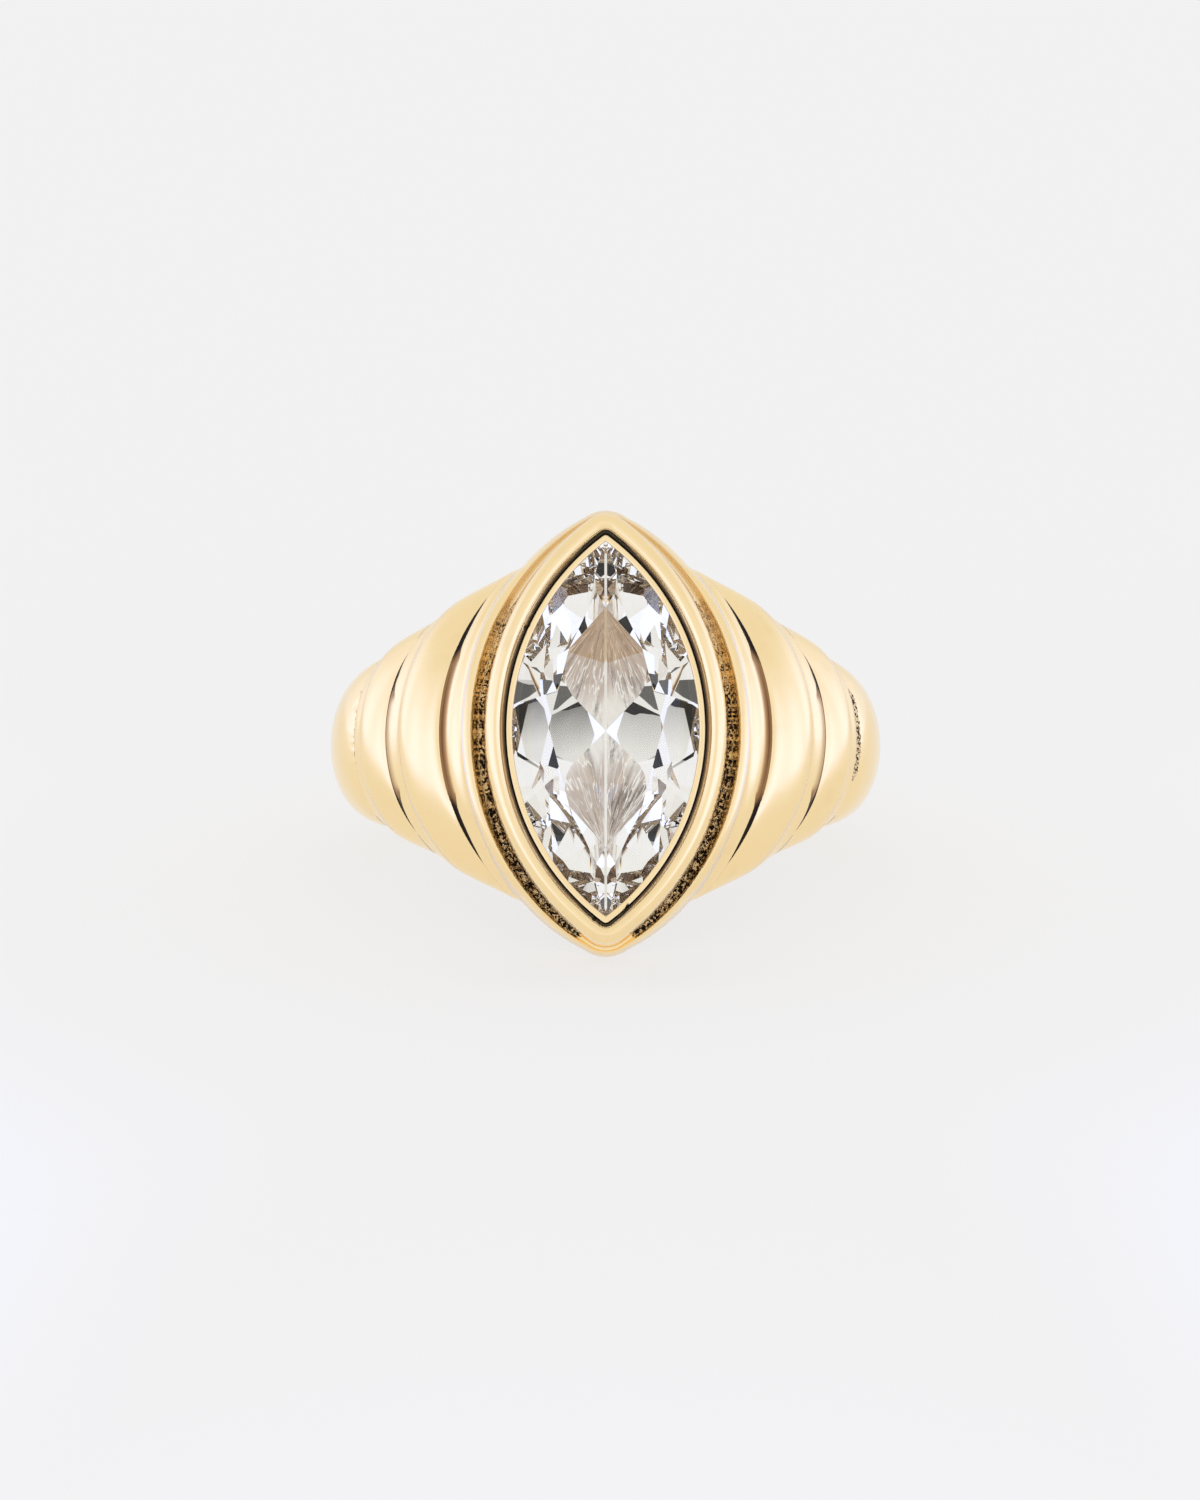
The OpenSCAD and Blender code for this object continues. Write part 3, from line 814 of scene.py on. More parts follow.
# In the groove's upper part the plate is thin, from the rim's wall to the groove's far side
THIN_GROOVE = (-0.1, 0.45)
THIN_GROOVE_WORN = (-0.03, 0.01)
THIN_GROOVE_UPWARD = (1.5, 5)

# Places this close to the stone or the band's edge don't belong to the head's top
HEAD_MARGIN = 0.1


def out_from_stone(f, points):
    """Distance of each point outside the stone's outline, in plan."""
    x, y = np.abs(points[:, 0]), np.abs(points[:, 1])
    turn = np.arctan2(y, x + f.arc_shift)
    beside = np.hypot(x + f.arc_shift, y) - f.arc_r
    return np.where(turn > f.point_angle, np.hypot(x, y - f.stone_len / 2), beside)


def towards_points(y, ends):
    """The sum of the amounts in a table's rows, each of which comes up along the head on one side."""
    return sum(amount * ramp(side * y, start, end) for side, start, end, amount in ends)


def wear(f, table, faces):
    """Pits the groove as it came from the casting, marks the rim, and works out where tarnish, painted shade
    and painted highlights lie.

    A pit pushes the surface in along its normal, deepest at its middle. Returns the points and the values
    that the gold reads: how far inside the pitted groove, a dark line of painted shade and painted
    reflection, and a worn edge, partly a painted highlight, each point lies, in millimetres, how deep its pit
    is and how black its line is.
    """
    points = table[:, :3]
    dark, black, streak, worn = table[:, 3:].T
    x, y, z = points.T
    out = out_from_stone(f, points)
    head = (z > f.edge_r + HEAD_MARGIN) & (out > HEAD_MARGIN) & (out < f.collar_out)
    # Pitted from the rim's foot outward
    width = blend(*PITTED_W, ramp(-y, *PITTED_LOWER))
    width = width * blend(1, PITTED_POINT_SHARE, ramp(np.abs(y), *PITTED_POINT))
    width = width + RAGGED_W * (cloud(points, RAGGED_SIZE, 3) - 0.5)
    pitted = np.minimum(out - f.rim_out + 0.01, f.rim_out + width - out) - towards_points(y, PITTED_ENDS)
    pitted = np.where(head, pitted, -1)
    # The dark line round the lip is a painted reflection of black
    line_out = f.lip_out + RIM_LINE_W + towards_points(y, RIM_LINE_ENDS)
    rim_line = np.minimum(out - f.lip_out + RIM_LINE_START, line_out - out)
    rim_line = np.where(head & (z < f.lip_z + f.rim_rise * RIM_LINE_TOP), rim_line, -1)
    black = np.where(rim_line > dark, blend(RIM_LINE_BROWN, 1, ramp(line_out - out, *RIM_LINE_FADE)), black)
    dark = np.maximum(dark, rim_line)
    pitted = np.maximum(pitted, streak - np.where(x < 0, STREAK_LEFT_NARROWER, 0))
    # A pale line along the collar's edge, painted as a highlight and drawn as worn plate, and worn in the
    # groove's upper part
    edge_gap = np.abs(out - collar_reach(f, np.arctan2(np.abs(y), np.abs(x) + f.arc_shift)))
    worn = np.maximum(worn, np.where(head, EDGE_HIGHLIGHT_HALF_W - edge_gap, -1))
    groove = head & (out > f.rim_out + THIN_GROOVE[0]) & (out < f.rim_out + THIN_GROOVE[1])
    thin = blend(*THIN_GROOVE_WORN, ramp(y, *THIN_GROOVE_UPWARD))
    worn = np.maximum(worn, np.where(groove, thin, -1))
    normals = corner_normals(points, faces)
    near = ramp(pitted, -0.06, 0.06)
    holes = 1 - ramp(nearest_spot(points * PIT_STRETCH, PIT_SIZE, 11), *PIT_SLOPE)
    grit = cloud(points, GRIT_SIZE, 5) - 0.5
    pit = np.clip(0.5 + PIT_DARK * holes + GRIT_DARK * grit, 0, 1)
    pit = pit * (1 - POLISHED_SHARE * ramp(y, *POLISHED_UPWARD))
    pit = np.where(streak > -0.4, STREAK_DARK[0] + STREAK_DARK[1] * holes, pit * near)
    points = points - normals * (near * (PIT_DEPTH * holes + GRIT_DEPTH * grit))[:, None]
    for mark_x, mark_y, radius, height in MARKS:
        away = np.hypot(x - mark_x, y - mark_y) / radius
        points = points + normals * (height * ramp(-away, -1, 0) * head)[:, None]
    return points, {"pitted": pitted, "pit": pit, "dark": dark, "black": black, "worn": worn}


# The head's lines from the lip to the collar's edge, as counts of lines that take every so many columns.
# The first and the last line are as coarse as the seat and the band that they meet
HEAD_LINES = [
    # every so many columns, count of lines
    (4, 1), (2, 27), (1, 34), (2, 21), (4, 1),
]


def gold_surface(f):
    """The ring's whole metal surface, as points with their values, and triangles."""
    skin = Skin()
    band = band_lines(f)
    steps = [step for step, count in HEAD_LINES for _ in range(count)]
    head = flowing(head_lines(f, head_angles(f, 1)), len(steps))
    add_seat(f, skin)
    add_flanks(f, skin, band)
    for mirror_x in (False, True):
        for k in range(len(head) - 1):
            upper, lower = head[k][::steps[k]], head[k + 1][::steps[k + 1]]
            if steps[k] == steps[k + 1]:
                skin.add_grid(np.stack([upper, lower]), mirror_x)
            elif steps[k] > steps[k + 1]:
                skin.add_stitch(upper, lower, mirror_x)
            else:
                skin.add_stitch(lower, upper, mirror_x, flip=True)
        for stretch in band:
            skin.add_grid(stretch, mirror_x)
    return skin.welded()


# Edges that turn more sharply than this stay sharp
SHARP_ANGLE = 42


def gold_mesh(f, material):
    """The metal in the frame, with a float attribute for each value that its material reads."""
    table, faces = gold_surface(f)
    points, values = wear(f, table, faces)
    mesh = bpy.data.meshes.new("gold_body")
    mesh.from_pydata(to_frame(points), [], faces)
    for name, column in values.items():
        mesh.attributes.new(name, "FLOAT", "POINT").data.foreach_set("value", column.astype(np.float32))
    mesh.shade_smooth()
    mesh.set_sharp_from_angle(angle=radians(SHARP_ANGLE))
    mesh.materials.append(material)
    mesh.validate()
    return mesh


# The stone's facets: where each meets the girdle, as the outline's angle in degrees, and how much steeper
# it is than a plain cone of facets. Each one is repeated in all four quarters
CROWN_GIRDLE_FACETS = [
    # angle, steepness
    (9, 1.16), (25, 1.18), (40, 1.3), (49, 1.42),
]
PAVILION_FACETS = [
    # angle, steepness
    (0, 1), (45, 1), (11, 1.09), (27, 1.13), (58, 1.2), (75, 1.3),
]
CROWN_MAIN_ANGLE = 35
STAR_SLOPE = 0.42
KEEL_FLAT = 0.02
KEEL_ANGLE = 45
# The table is a little longer, for its width, than the stone. Its corner towards the main facet lies
# this much further across and less far along
TABLE_LONGER = 0.03
MAIN_CORNER_ACROSS = 0.1
MAIN_CORNER_ALONG = -0.05
BLANK_CORNERS = 65


def facet_planes(f):
    """The planes that the stone is cut by, each as a point and an outward normal.

    A facet that meets the girdle touches the outline where its normal has the facet's angle, and falls or
    rises from there at its slope. The crown's main facets also pass through the corners of the table, and
    each star facet passes through two corners next to each other.
    """
    planes = []

    def touching(angle, slope, z, side):
        """Facets at this angle in all four quarters. Side is 1 for the crown and -1 for the pavilion."""
        place = outline(f, radians(angle), 0)
        for sx, sy in QUARTERS:
            normal = (sx * cos(radians(angle)) * slope, sy * sin(radians(angle)) * slope, side)
            planes.append(((sx * place[0], sy * place[1], z), normal))

    def reach(angle):
        """Distance from the stone's middle to the line that touches the outline at this angle."""
        place = outline(f, radians(angle), 0)
        return place[0] * cos(radians(angle)) + place[1] * sin(radians(angle))

    for angle, steepness in PAVILION_FACETS:
        touching(angle, steepness * f.pavilion_h / reach(angle), f.girdle_z, -1)
    # A narrow flat along the keel, where the facets at this angle meet
    keel_slope = f.pavilion_h / reach(KEEL_ANGLE) * sin(radians(KEEL_ANGLE))
    for sy in (1, -1):
        planes.append(((0, 0, f.keel_z + KEEL_FLAT), (0, sy * keel_slope, -1)))
    main = outline(f, radians(CROWN_MAIN_ANGLE), 0)
    across, along = f.table_share, f.table_share + TABLE_LONGER
    corners = [
        (f.stone_w / 2 * across, 0),
        (main[0] * (across + MAIN_CORNER_ACROSS), main[1] * (along + MAIN_CORNER_ALONG)),
        (0, f.stone_len / 2 * along),
    ]
    for angle, corner in zip((0, CROWN_MAIN_ANGLE, 90), corners):
        run = reach(angle) - corner[0] * cos(radians(angle)) - corner[1] * sin(radians(angle))
        touching(angle, f.crown_h / run, f.crown_z, 1)
    for angle, steepness in CROWN_GIRDLE_FACETS:
        touching(angle, steepness * f.crown_h / (reach(angle) * (1 - across)), f.crown_z, 1)
    for a, b in zip(corners[:-1], corners[1:]):
        edge = np.array([b[0] - a[0], b[1] - a[1]])
        normal = np.array([edge[1], -edge[0]]) / np.linalg.norm(edge)
        for sx, sy in QUARTERS:
            planes.append(((sx * a[0], sy * a[1], f.crown_z + f.crown_h),
                           (sx * normal[0] * STAR_SLOPE, sy * normal[1] * STAR_SLOPE, 1)))
    return planes


# The painted view of the seat lies on the underside's facets whose normals have about the keel's angle, in
# degrees, and hardly on the others
PAINTED_SEAT_VIEW_ANGLES = (35, 55)
PAINTED_SEAT_VIEW_ELSEWHERE = 0.12


def cut_stone(f):
    """Cuts the stone as a cutter does: a blank with the girdle's outline loses what lies past each plane."""
    part = np.linspace(-1, 1, BLANK_CORNERS)
    right = pointed_outline(f, part, 0)
    left = pointed_outline(f, part[::-1], 0)[1:-1] * [-1, 1]
    ring = np.concatenate([right, left])
    cutter = bmesh.new()
    lower = [cutter.verts.new((x, y, f.keel_z)) for x, y in ring]
    upper = [cutter.verts.new((x, y, f.crown_z + f.crown_h)) for x, y in ring]
    cutter.faces.new(lower[::-1])
    cutter.faces.new(upper)
    for k in range(len(ring)):
        after = (k + 1) % len(ring)
        cutter.faces.new((lower[k], lower[after], upper[after], upper[k]))
    for point, normal in facet_planes(f):
        geometry = cutter.verts[:] + cutter.edges[:] + cutter.faces[:]
        cut = bmesh.ops.bisect_plane(cutter, geom=geometry, dist=1e-6, plane_co=point, plane_no=normal,
                                     clear_outer=True)
        edges = [e for e in cut["geom_cut"] if isinstance(e, bmesh.types.BMEdge)]
        if len(edges) > 2:
            bmesh.ops.contextual_create(cutter, geom=edges)
    bmesh.ops.remove_doubles(cutter, verts=cutter.verts, dist=1e-5)
    bmesh.ops.recalc_face_normals(cutter, faces=cutter.faces)
    mesh = bpy.data.meshes.new("cut_stone")
    cutter.to_mesh(mesh)
    cutter.free()
    points = np.zeros(len(mesh.vertices) * 3)
    mesh.vertices.foreach_get("co", points)
    points = points.reshape(-1, 3)
    # The place in plan guides the painted seat view's streaks, which lie on the underside's facets along the
    # keel
    plan = (points * [1, 1, 0]).ravel()
    mesh.attributes.new("plan", "FLOAT_VECTOR", "POINT").data.foreach_set("vector", plan)
    normals = np.zeros(len(mesh.polygons) * 3)
    mesh.polygons.foreach_get("normal", normals)
    x, y, z = normals.reshape(-1, 3).T
    turn = np.degrees(np.arctan2(np.abs(y), np.abs(x)))
    keel = (turn > PAINTED_SEAT_VIEW_ANGLES[0]) & (turn < PAINTED_SEAT_VIEW_ANGLES[1])
    painted_seat_view = np.where(z < -0.1, np.where(keel, 1.0, PAINTED_SEAT_VIEW_ELSEWHERE), 0.0)
    mesh.attributes.new("painted_seat_view", "FLOAT", "FACE").data.foreach_set("value", painted_seat_view.astype(np.float32))
    mesh.vertices.foreach_set("co", to_frame(points).ravel())
    mesh.update()
    return mesh


def add_node(tree, kind, inputs=(), output=0, **settings):
    """Adds a shader node and gives back one of its outputs, by place or name.

    Inputs are values, or sockets to link from, in the node's own order or by name. Settings are the node's
    own properties.
    """
    node = tree.nodes.new("ShaderNode" + kind)
    for name, value in settings.items():
        setattr(node, name, value)
    for name, value in inputs.items() if isinstance(inputs, dict) else enumerate(inputs):
        if isinstance(value, bpy.types.NodeSocket):
            tree.links.new(value, node.inputs[name])
        else:
            node.inputs[name].default_value = value
    return node.outputs[output] if node.outputs else None


def new_material(name):
    """An empty material, and the way to add a node to it."""
    material = bpy.data.materials.new(name)
    material.use_nodes = True
    material.node_tree.nodes.clear()
    return material, partial(add_node, material.node_tree)


# For a Map Range node: a smooth rise. Its inputs are the value, where the rise starts and ends, and, if
# not 0 and 1, the results there
SMOOTH = {"interpolation_type": "SMOOTHSTEP"}

# The noises of the gold's grit, ragged edges, stains and polishing waves: grain in millimetres, octaves and
# roughness. The grit and the ragged edges are drawn coarser than real ones, which wouldn't show in the render
GOLD_NOISES = [
    # grain, octaves, roughness
    (1 / 9, 4, 0.65), (1 / 18, 2, 0.6), (1.25, 4, 0.6), (1 / 1.1, 1, 0.5),
]
# Where the pitted groove, the dark lines of painted shade and painted reflection, and the worn edges, partly
# painted highlights, begin and are full, in millimetres inside
GROOVE_EDGE = (-0.01, 0.05)
LINE_EDGE = (-0.012, 0.012)
WORN_AND_HIGHLIGHT_EDGE = (-0.03, 0.05)
WORN_AND_HIGHLIGHT_MOST = 0.8
# How far the ragged noises push these edges about
GROOVE_RAGGED = 0.24
LINE_RAGGED = 0.05
# In the groove the metal turns dark between these depths, which weigh the pits and the grit
DARK_DEPTHS = (0.74, 0.85)
PIT_WEIGHT = 0.3
GRIT_WEIGHT = 1.2
GROOVE_DULL = 0.1
STAIN_EDGE = (0.45, 0.75)
STAIN_MOST = 0.07
# Tarnish and the painted shade of the dark lines first shade the gold and then blacken it
SHADED = (0.0, 0.5)
BLACKENED = (0.5, 1.0)
BLACKENED_LESS_METALLIC = 0.6
POLISHED_ROUGHNESS = 0.14
DULL_ROUGHNESS = 0.35
# Strength and height in millimetres of the bumps from the grit and from the polishing
GRIT_BUMP = (0.9, 0.08)
WAVE_BUMP = (0.25, 0.03)


def gold_material(finish):
    """Polished gold plate on cast brass.

    The eye sees mirror-like pale gold with faint waves and stains, and paler, duller metal where the plate
    is worn, which along the collar's and steps' edges is also a painted highlight. Metal that the polishing
    didn't reach keeps its casting pits and a matt, nearly black tarnish, in the groove. The dark slits in the
    creases and the line round the lip are painted shade and painted reflection in brown and black, with some
    tarnish in the slits' spindles.
    """
    material, node = new_material("polished_gold_plate")
    place = node("TexCoord", output="Object")
    in_mm = node("Mapping", {"Vector": place, "Scale": [1 / MM] * 3})
    pitted, pit, dark, black, worn = (
        node("Attribute", attribute_name=name, output="Fac")
        for name in ("pitted", "pit", "dark", "black", "worn")
    )
    grit, fine, cloudy, wavy = (
        node("TexNoise", {"Vector": in_mm, "Scale": 1 / grain, "Detail": octaves, "Roughness": roughness})
        for grain, octaves, roughness in GOLD_NOISES
    )
    # Inside the pitted groove the deep parts are dark, and the high parts keep specks of dull gold
    ragged = node("Math", (grit, GROOVE_RAGGED, -GROOVE_RAGGED / 2), operation="MULTIPLY_ADD")
    groove = node("MapRange", (node("Math", (pitted, ragged)), *GROOVE_EDGE), **SMOOTH)
    gritty = node("Math", (grit, GRIT_WEIGHT), operation="MULTIPLY")
    depth = node("Math", (pit, PIT_WEIGHT, gritty), operation="MULTIPLY_ADD")
    pits = node("Math", (groove, node("MapRange", (depth, *DARK_DEPTHS), **SMOOTH)), operation="MULTIPLY")
    ragged = node("Math", (fine, LINE_RAGGED, -LINE_RAGGED / 2), operation="MULTIPLY_ADD")
    # The dark lines: painted shade in the slits and a painted reflection round the lip
    line = node("MapRange", (node("Math", (dark, ragged)), *LINE_EDGE), **SMOOTH)
    tarnish_and_painted_shade = pits
    for other in (
        node("Math", (line, black), operation="MULTIPLY"),
        node("Math", (groove, GROOVE_DULL), operation="MULTIPLY"),
        node("MapRange", (cloudy, *STAIN_EDGE, 0, STAIN_MOST), **SMOOTH),
    ):
        tarnish_and_painted_shade = node("Math", (tarnish_and_painted_shade, other), operation="MAXIMUM")
    # Paler, duller metal where the plate is worn, and along the edges where the pale line is a painted
    # highlight
    thin = node("MapRange", (node("Math", (worn, ragged)), *WORN_AND_HIGHLIGHT_EDGE, 0, WORN_AND_HIGHLIGHT_MOST), **SMOOTH)
    shaded, blackened = (node("MapRange", (tarnish_and_painted_shade, *part), **SMOOTH) for part in (SHADED, BLACKENED))
    colour = (*finish.gold, 1)
    for factor, next_colour in ((thin, finish.worn), (shaded, finish.shade), (blackened, finish.tarnish_and_painted_shade)):
        colour = node("Mix", {"Factor": factor, 6: colour, 7: (*next_colour, 1)}, output=2, data_type="RGBA")
    grit_height = node("Math", (groove, grit), operation="MULTIPLY")
    normal = node("Bump", {"Height": grit_height, "Strength": GRIT_BUMP[0], "Distance": GRIT_BUMP[1] * MM})
    normal = node("Bump", {
        "Height": wavy, "Strength": WAVE_BUMP[0], "Distance": WAVE_BUMP[1] * MM, "Normal": normal,
    })
    # The black of the tarnish and of the painted dark lines is less metallic
    less_metallic = node("MapRange", (tarnish_and_painted_shade, *BLACKENED, 0, BLACKENED_LESS_METALLIC), **SMOOTH)
    dull = node("Math", (tarnish_and_painted_shade, thin), operation="MAXIMUM")
    shader = node("BsdfPrincipled", {
        "Base Color": colour,
        "Metallic": node("Math", (1, less_metallic), operation="SUBTRACT"),
        "Roughness": node("Math", (dull, DULL_ROUGHNESS, POLISHED_ROUGHNESS), operation="MULTIPLY_ADD"),
        "Specular IOR Level": 0.2, "Normal": normal,
    })
    node("OutputMaterial", {"Surface": shader})
    return material


# The stone's painted seat view and facets, in millimetres: where the painted view's streaks spread from along
# the stone, how far a facet's dome stands out a millimetre from its middle, and the height of the facets'
# waves
FAN_Y = 4.4
DOME_PER_MM = 0.004
WAVE_H = 0.0007
# Grain of the painted seat view's specks and of the facets' waves, in millimetres
SPECK_GRAIN = 1 / 9
WAVE_GRAIN = 1 / 0.9
# Noises that fan out from beyond the keel's ends: the painted seat view's clear streaks, its faded places,
# and its dark threads. The last number sets each one's pattern apart from the others'
FANS = [
    # streaks to a radian, changes to a millimetre along them, octaves, shift
    (11, 0.5, 2, 20), (7, 0.3, 1, 40), (9, 0.35, 3, 0),
]
FAN_ROUGHNESS = 0.6
# The two ends' patterns lie this far apart on either side of the middle
END_SHIFT = 5
# A clear streak lies this close to its noise's middle value, 0.5
CLEAR_STREAK_EDGE = (0.002, 0.03)
# The painted seat view fades away near the stone's middle: a ramp along the stone, which the fade noise moves
FADE_MOVED = 2.2
FADE_ALONG = (1.4, 3.0)
# Where threads are dark, how much the specks add, and how much the lower right stretch adds: ramps in
# millimetres across and along the stone
THREAD_EDGE = (0.6, 0.85)
SPECKS_ADD = 0.25
STRETCH_ADD = 0.14
STRETCH_ACROSS = (-0.1, 0.3)
STRETCH_ALONG = (-1.6, -2.4)
# The dome is left off the crown, which has no painted seat view
DOMED_PAINTED_SEAT_VIEW = (0.02, 0.1)
# White sapphire
STONE_IOR = 1.76


def stone_material(finish):
    """A clear cut stone, whose facets turn light back like those of white sapphire.

    The eye sees polished facets, not quite flat. On the underside along the keel, where the stone is looked
    through, a brown-grey view of the seat's rough inside is painted onto the facets. It is streaked: its
    clear streaks and dark threads spread from beyond the keel's two ends towards the stone's middle, where it
    fades to cream. The table faces the dark camera, so little of the tent's glare lies over the stone.
    """
    material, node = new_material("clear_cut_stone")
    painted_seat_view = node("Attribute", attribute_name="painted_seat_view", output="Fac")
    plan = node("Attribute", attribute_name="plan", output="Vector")
    x, y = (node("SeparateXYZ", [plan], output=axis) for axis in ("X", "Y"))
    along = node("Math", [y], operation="ABSOLUTE")
    turn = node("Math", (x, node("Math", (FAN_Y, along), operation="SUBTRACT")), operation="ARCTAN2")
    end = node("Math", (node("Math", [y], operation="SIGN"), END_SHIFT), operation="MULTIPLY")
    fans = []
    for per_radian, per_mm, octaves, shift in FANS:
        place = node("CombineXYZ", (
            node("Math", (turn, per_radian), operation="MULTIPLY"),
            node("Math", (along, per_mm), operation="MULTIPLY"),
            node("Math", (end, shift)),
        ))
        fans.append(node("TexNoise", {
            "Vector": place, "Scale": 1, "Detail": octaves, "Roughness": FAN_ROUGHNESS,
        }))
    clear_streaks, patches, threads = fans
    specks = node("TexNoise", {"Vector": plan, "Scale": 1 / SPECK_GRAIN, "Detail": 3, "Roughness": 0.8})
    # Thin clear streaks lie where a streaky noise crosses its middle value
    crossing = node("Math", [node("Math", (clear_streaks, 0.5), operation="SUBTRACT")], operation="ABSOLUTE")
    kept = node("MapRange", (crossing, *CLEAR_STREAK_EDGE), **SMOOTH)
    moved = node("Math", (patches, FADE_MOVED, along), operation="MULTIPLY_ADD")
    left = node("Math", (kept, node("MapRange", (moved, *FADE_ALONG), **SMOOTH)), operation="MULTIPLY")
    # The brown-grey painted view of the seat on the keel's facets, faded towards the middle and open along
    # clear streaks
    colour = node("Mix", {
        "Factor": node("Math", (painted_seat_view, left), operation="MULTIPLY"),
        6: (*finish.stone, 1), 7: (*finish.painted_seat_view, 1),
    }, output=2, data_type="RGBA")
    # The lower right stretch of the painted seat view is the darkest
    stretch = node("Math", (
        node("MapRange", (x, *STRETCH_ACROSS, 0, STRETCH_ADD), **SMOOTH),
        node("MapRange", (y, *STRETCH_ALONG), **SMOOTH),
    ), operation="MULTIPLY")
    specked = node("Math", (specks, SPECKS_ADD, threads), operation="MULTIPLY_ADD")
    thread = node("MapRange", (node("Math", (specked, stretch)), *THREAD_EDGE), **SMOOTH)
    painted_seat_view_kept = node("Math", (painted_seat_view, kept), operation="MULTIPLY")
    colour = node("Mix", {
        "Factor": node("Math", (thread, painted_seat_view_kept), operation="MULTIPLY"), 6: colour, 7: (*finish.threads, 1),
    }, output=2, data_type="RGBA")
    # The underside's facets are a little domed along the stone, and all facets wave a little
    square = node("Math", (y, y), operation="MULTIPLY")
    domed = node("MapRange", (painted_seat_view, *DOMED_PAINTED_SEAT_VIEW, 0, DOME_PER_MM), **SMOOTH)
    waves = node("TexNoise", {"Vector": plan, "Scale": 1 / WAVE_GRAIN, "Detail": 1})
    dome = node("Math", (square, domed), operation="MULTIPLY")
    height = node("Math", (waves, WAVE_H, dome), operation="MULTIPLY_ADD")
    shader = node("BsdfPrincipled", {
        "Base Color": colour, "Roughness": 0, "IOR": STONE_IOR, "Transmission Weight": 1,
        "Specular Tint": (*finish.glare, 1),
        "Normal": node("Bump", {"Height": height, "Strength": 1, "Distance": MM}),
    })
    node("OutputMaterial", {"Surface": shader})
    return material


def toward(azimuth, elevation):
    """A direction away from the ring. Azimuth 0 is the camera's side, and 90 the ring's right."""
    a, e = radians(azimuth), radians(elevation)
    return Vector((sin(a) * cos(e), -cos(a) * cos(e), sin(e)))


# The studio's soft light: an even tent, and broad brighter patches with soft edges
TENT_LIGHT = (0.888, 0.89, 0.89)
SIDE_LIGHT = (0.15, 0.22, 0.56)
CORNER_LIGHT = (0.11, 0.165, 0.42)
FRONT_LIGHT = (0.05, 0.06, 0.12)
PATCHES = [
    # azimuth, elevation, gone at, in degrees, added light, and how far out in metres it begins on the table
    (56, 0, 41, SIDE_LIGHT, 0.022),
    (94, 0, 41, SIDE_LIGHT, 0.022),
    (-56, 0, 41, SIDE_LIGHT, 0.022),
    (-94, 0, 41, SIDE_LIGHT, 0.022),
    (36, 8, 30, CORNER_LIGHT, 0.065),
    (-36, 8, 30, CORNER_LIGHT, 0.065),
    (122, 0, 36, CORNER_LIGHT, 0.05),
    (-122, 0, 36, CORNER_LIGHT, 0.05),
    (0, 18, 40, FRONT_LIGHT, 0.03),
]
PATCH_FAR = 0.15


def studio_light(node, direction, light, distance=None):
    """The light from a direction: this even light, with the patches added.

    A patch comes up with the cosine of the angle from its middle. At a distance on the table it also comes
    up with the logarithm of the distance, from where it begins, and is full at PATCH_FAR.
    """
    for azimuth, elevation, gone, gain, near in PATCHES:
        turned = node("VectorMath", (direction, toward(azimuth, elevation)), "Value", operation="DOT_PRODUCT")
        bright = node("MapRange", (turned, cos(radians(gone)), 1), **SMOOTH)
        if distance is not None:
            far_off = node("Math", (distance, 10), operation="LOGARITHM")
            begun = node("MapRange", (far_off, log10(near), log10(PATCH_FAR)), **SMOOTH)
            bright = node("Math", (bright, begun), operation="MULTIPLY")
        patch = node("VectorMath", {0: gain, "Scale": bright}, operation="SCALE")
        light = node("VectorMath", (light, patch))
    return light


def add_world(scene):
    """Lights the scene from all round, by the direction alone."""
    world = bpy.data.worlds.new("studio")
    scene.world = world
    world.use_nodes = True
    world.node_tree.nodes.clear()
    node = partial(add_node, world.node_tree)
    direction = node("TexCoord", output="Generated")
    node("OutputWorld", {"Surface": node("Background", {"Color": studio_light(node, direction, TENT_LIGHT)})})


# The table's glow, how much of the tent's light it sends back, and the place that its patches lie round
TABLE_GLOW = 0.78
TABLE_SHARE = 0.24
RING_MIDDLE = (0, 0, 0.008)
FLOOR_R = 1.2
FLOOR_CORNERS = 96


def floor_material(finish):
    """Matt white acrylic of a light table, which glows a little, so that shadows on it stay faint.

    The studio's patches lie on it too, far out, so that the gold's highlights run on below the horizon.
    """
    material, node = new_material("white_light_table")
    away = node("VectorMath", (node("TexCoord", output="Object"), RING_MIDDLE), operation="SUBTRACT")
    distance = node("VectorMath", [away], "Value", operation="LENGTH")
    direction = node("VectorMath", [away], operation="NORMALIZE")
    glow = [channel * TABLE_GLOW for channel in finish.floor]
    shader = node("BsdfPrincipled", {
        "Base Color": (*[channel * TABLE_SHARE for channel in finish.floor], 1), "Roughness": 0.9,
        "Specular IOR Level": 0, "Emission Strength": 1,
        "Emission Color": studio_light(node, direction, glow, distance),
    })
    node("OutputMaterial", {"Surface": shader})
    return material


def add_floor(finish):
    """A round flat floor."""
    turns = [2 * pi * k / FLOOR_CORNERS for k in range(FLOOR_CORNERS)]
    mesh = bpy.data.meshes.new("floor")
    mesh.from_pydata([(FLOOR_R * cos(a), FLOOR_R * sin(a), 0) for a in turns], [], [range(FLOOR_CORNERS)])
    mesh.materials.append(floor_material(finish))
    add_object("floor", mesh)


# What the stone turns back from beside the camera: flat rings on an upright plane there, in metres
CARD_ELEVATION = 17.5
CARD_AWAY = 0.28
CARD_CORNERS = 48
CARD_RINGS = [
    # across, up, nearer, inner radius, outer radius, and how light it is at each, on the left and the right
    (0.0015, 0, 0, 0.0, 0.034, (0.85, 0.85), (0.88, 0.76)),
    (0.0015, 0, 0, 0.034, 0.049, (0.88, 0.76), (0.62, 0.12)),
    (0.0015, 0, 0, 0.049, 0.072, (0.025, 0.025), (0.025, 0.025)),
    (0.005, -0.078, 0.001, 0.0, 0.046, (0.14, 0.14), (0.13, 0.13)),
]


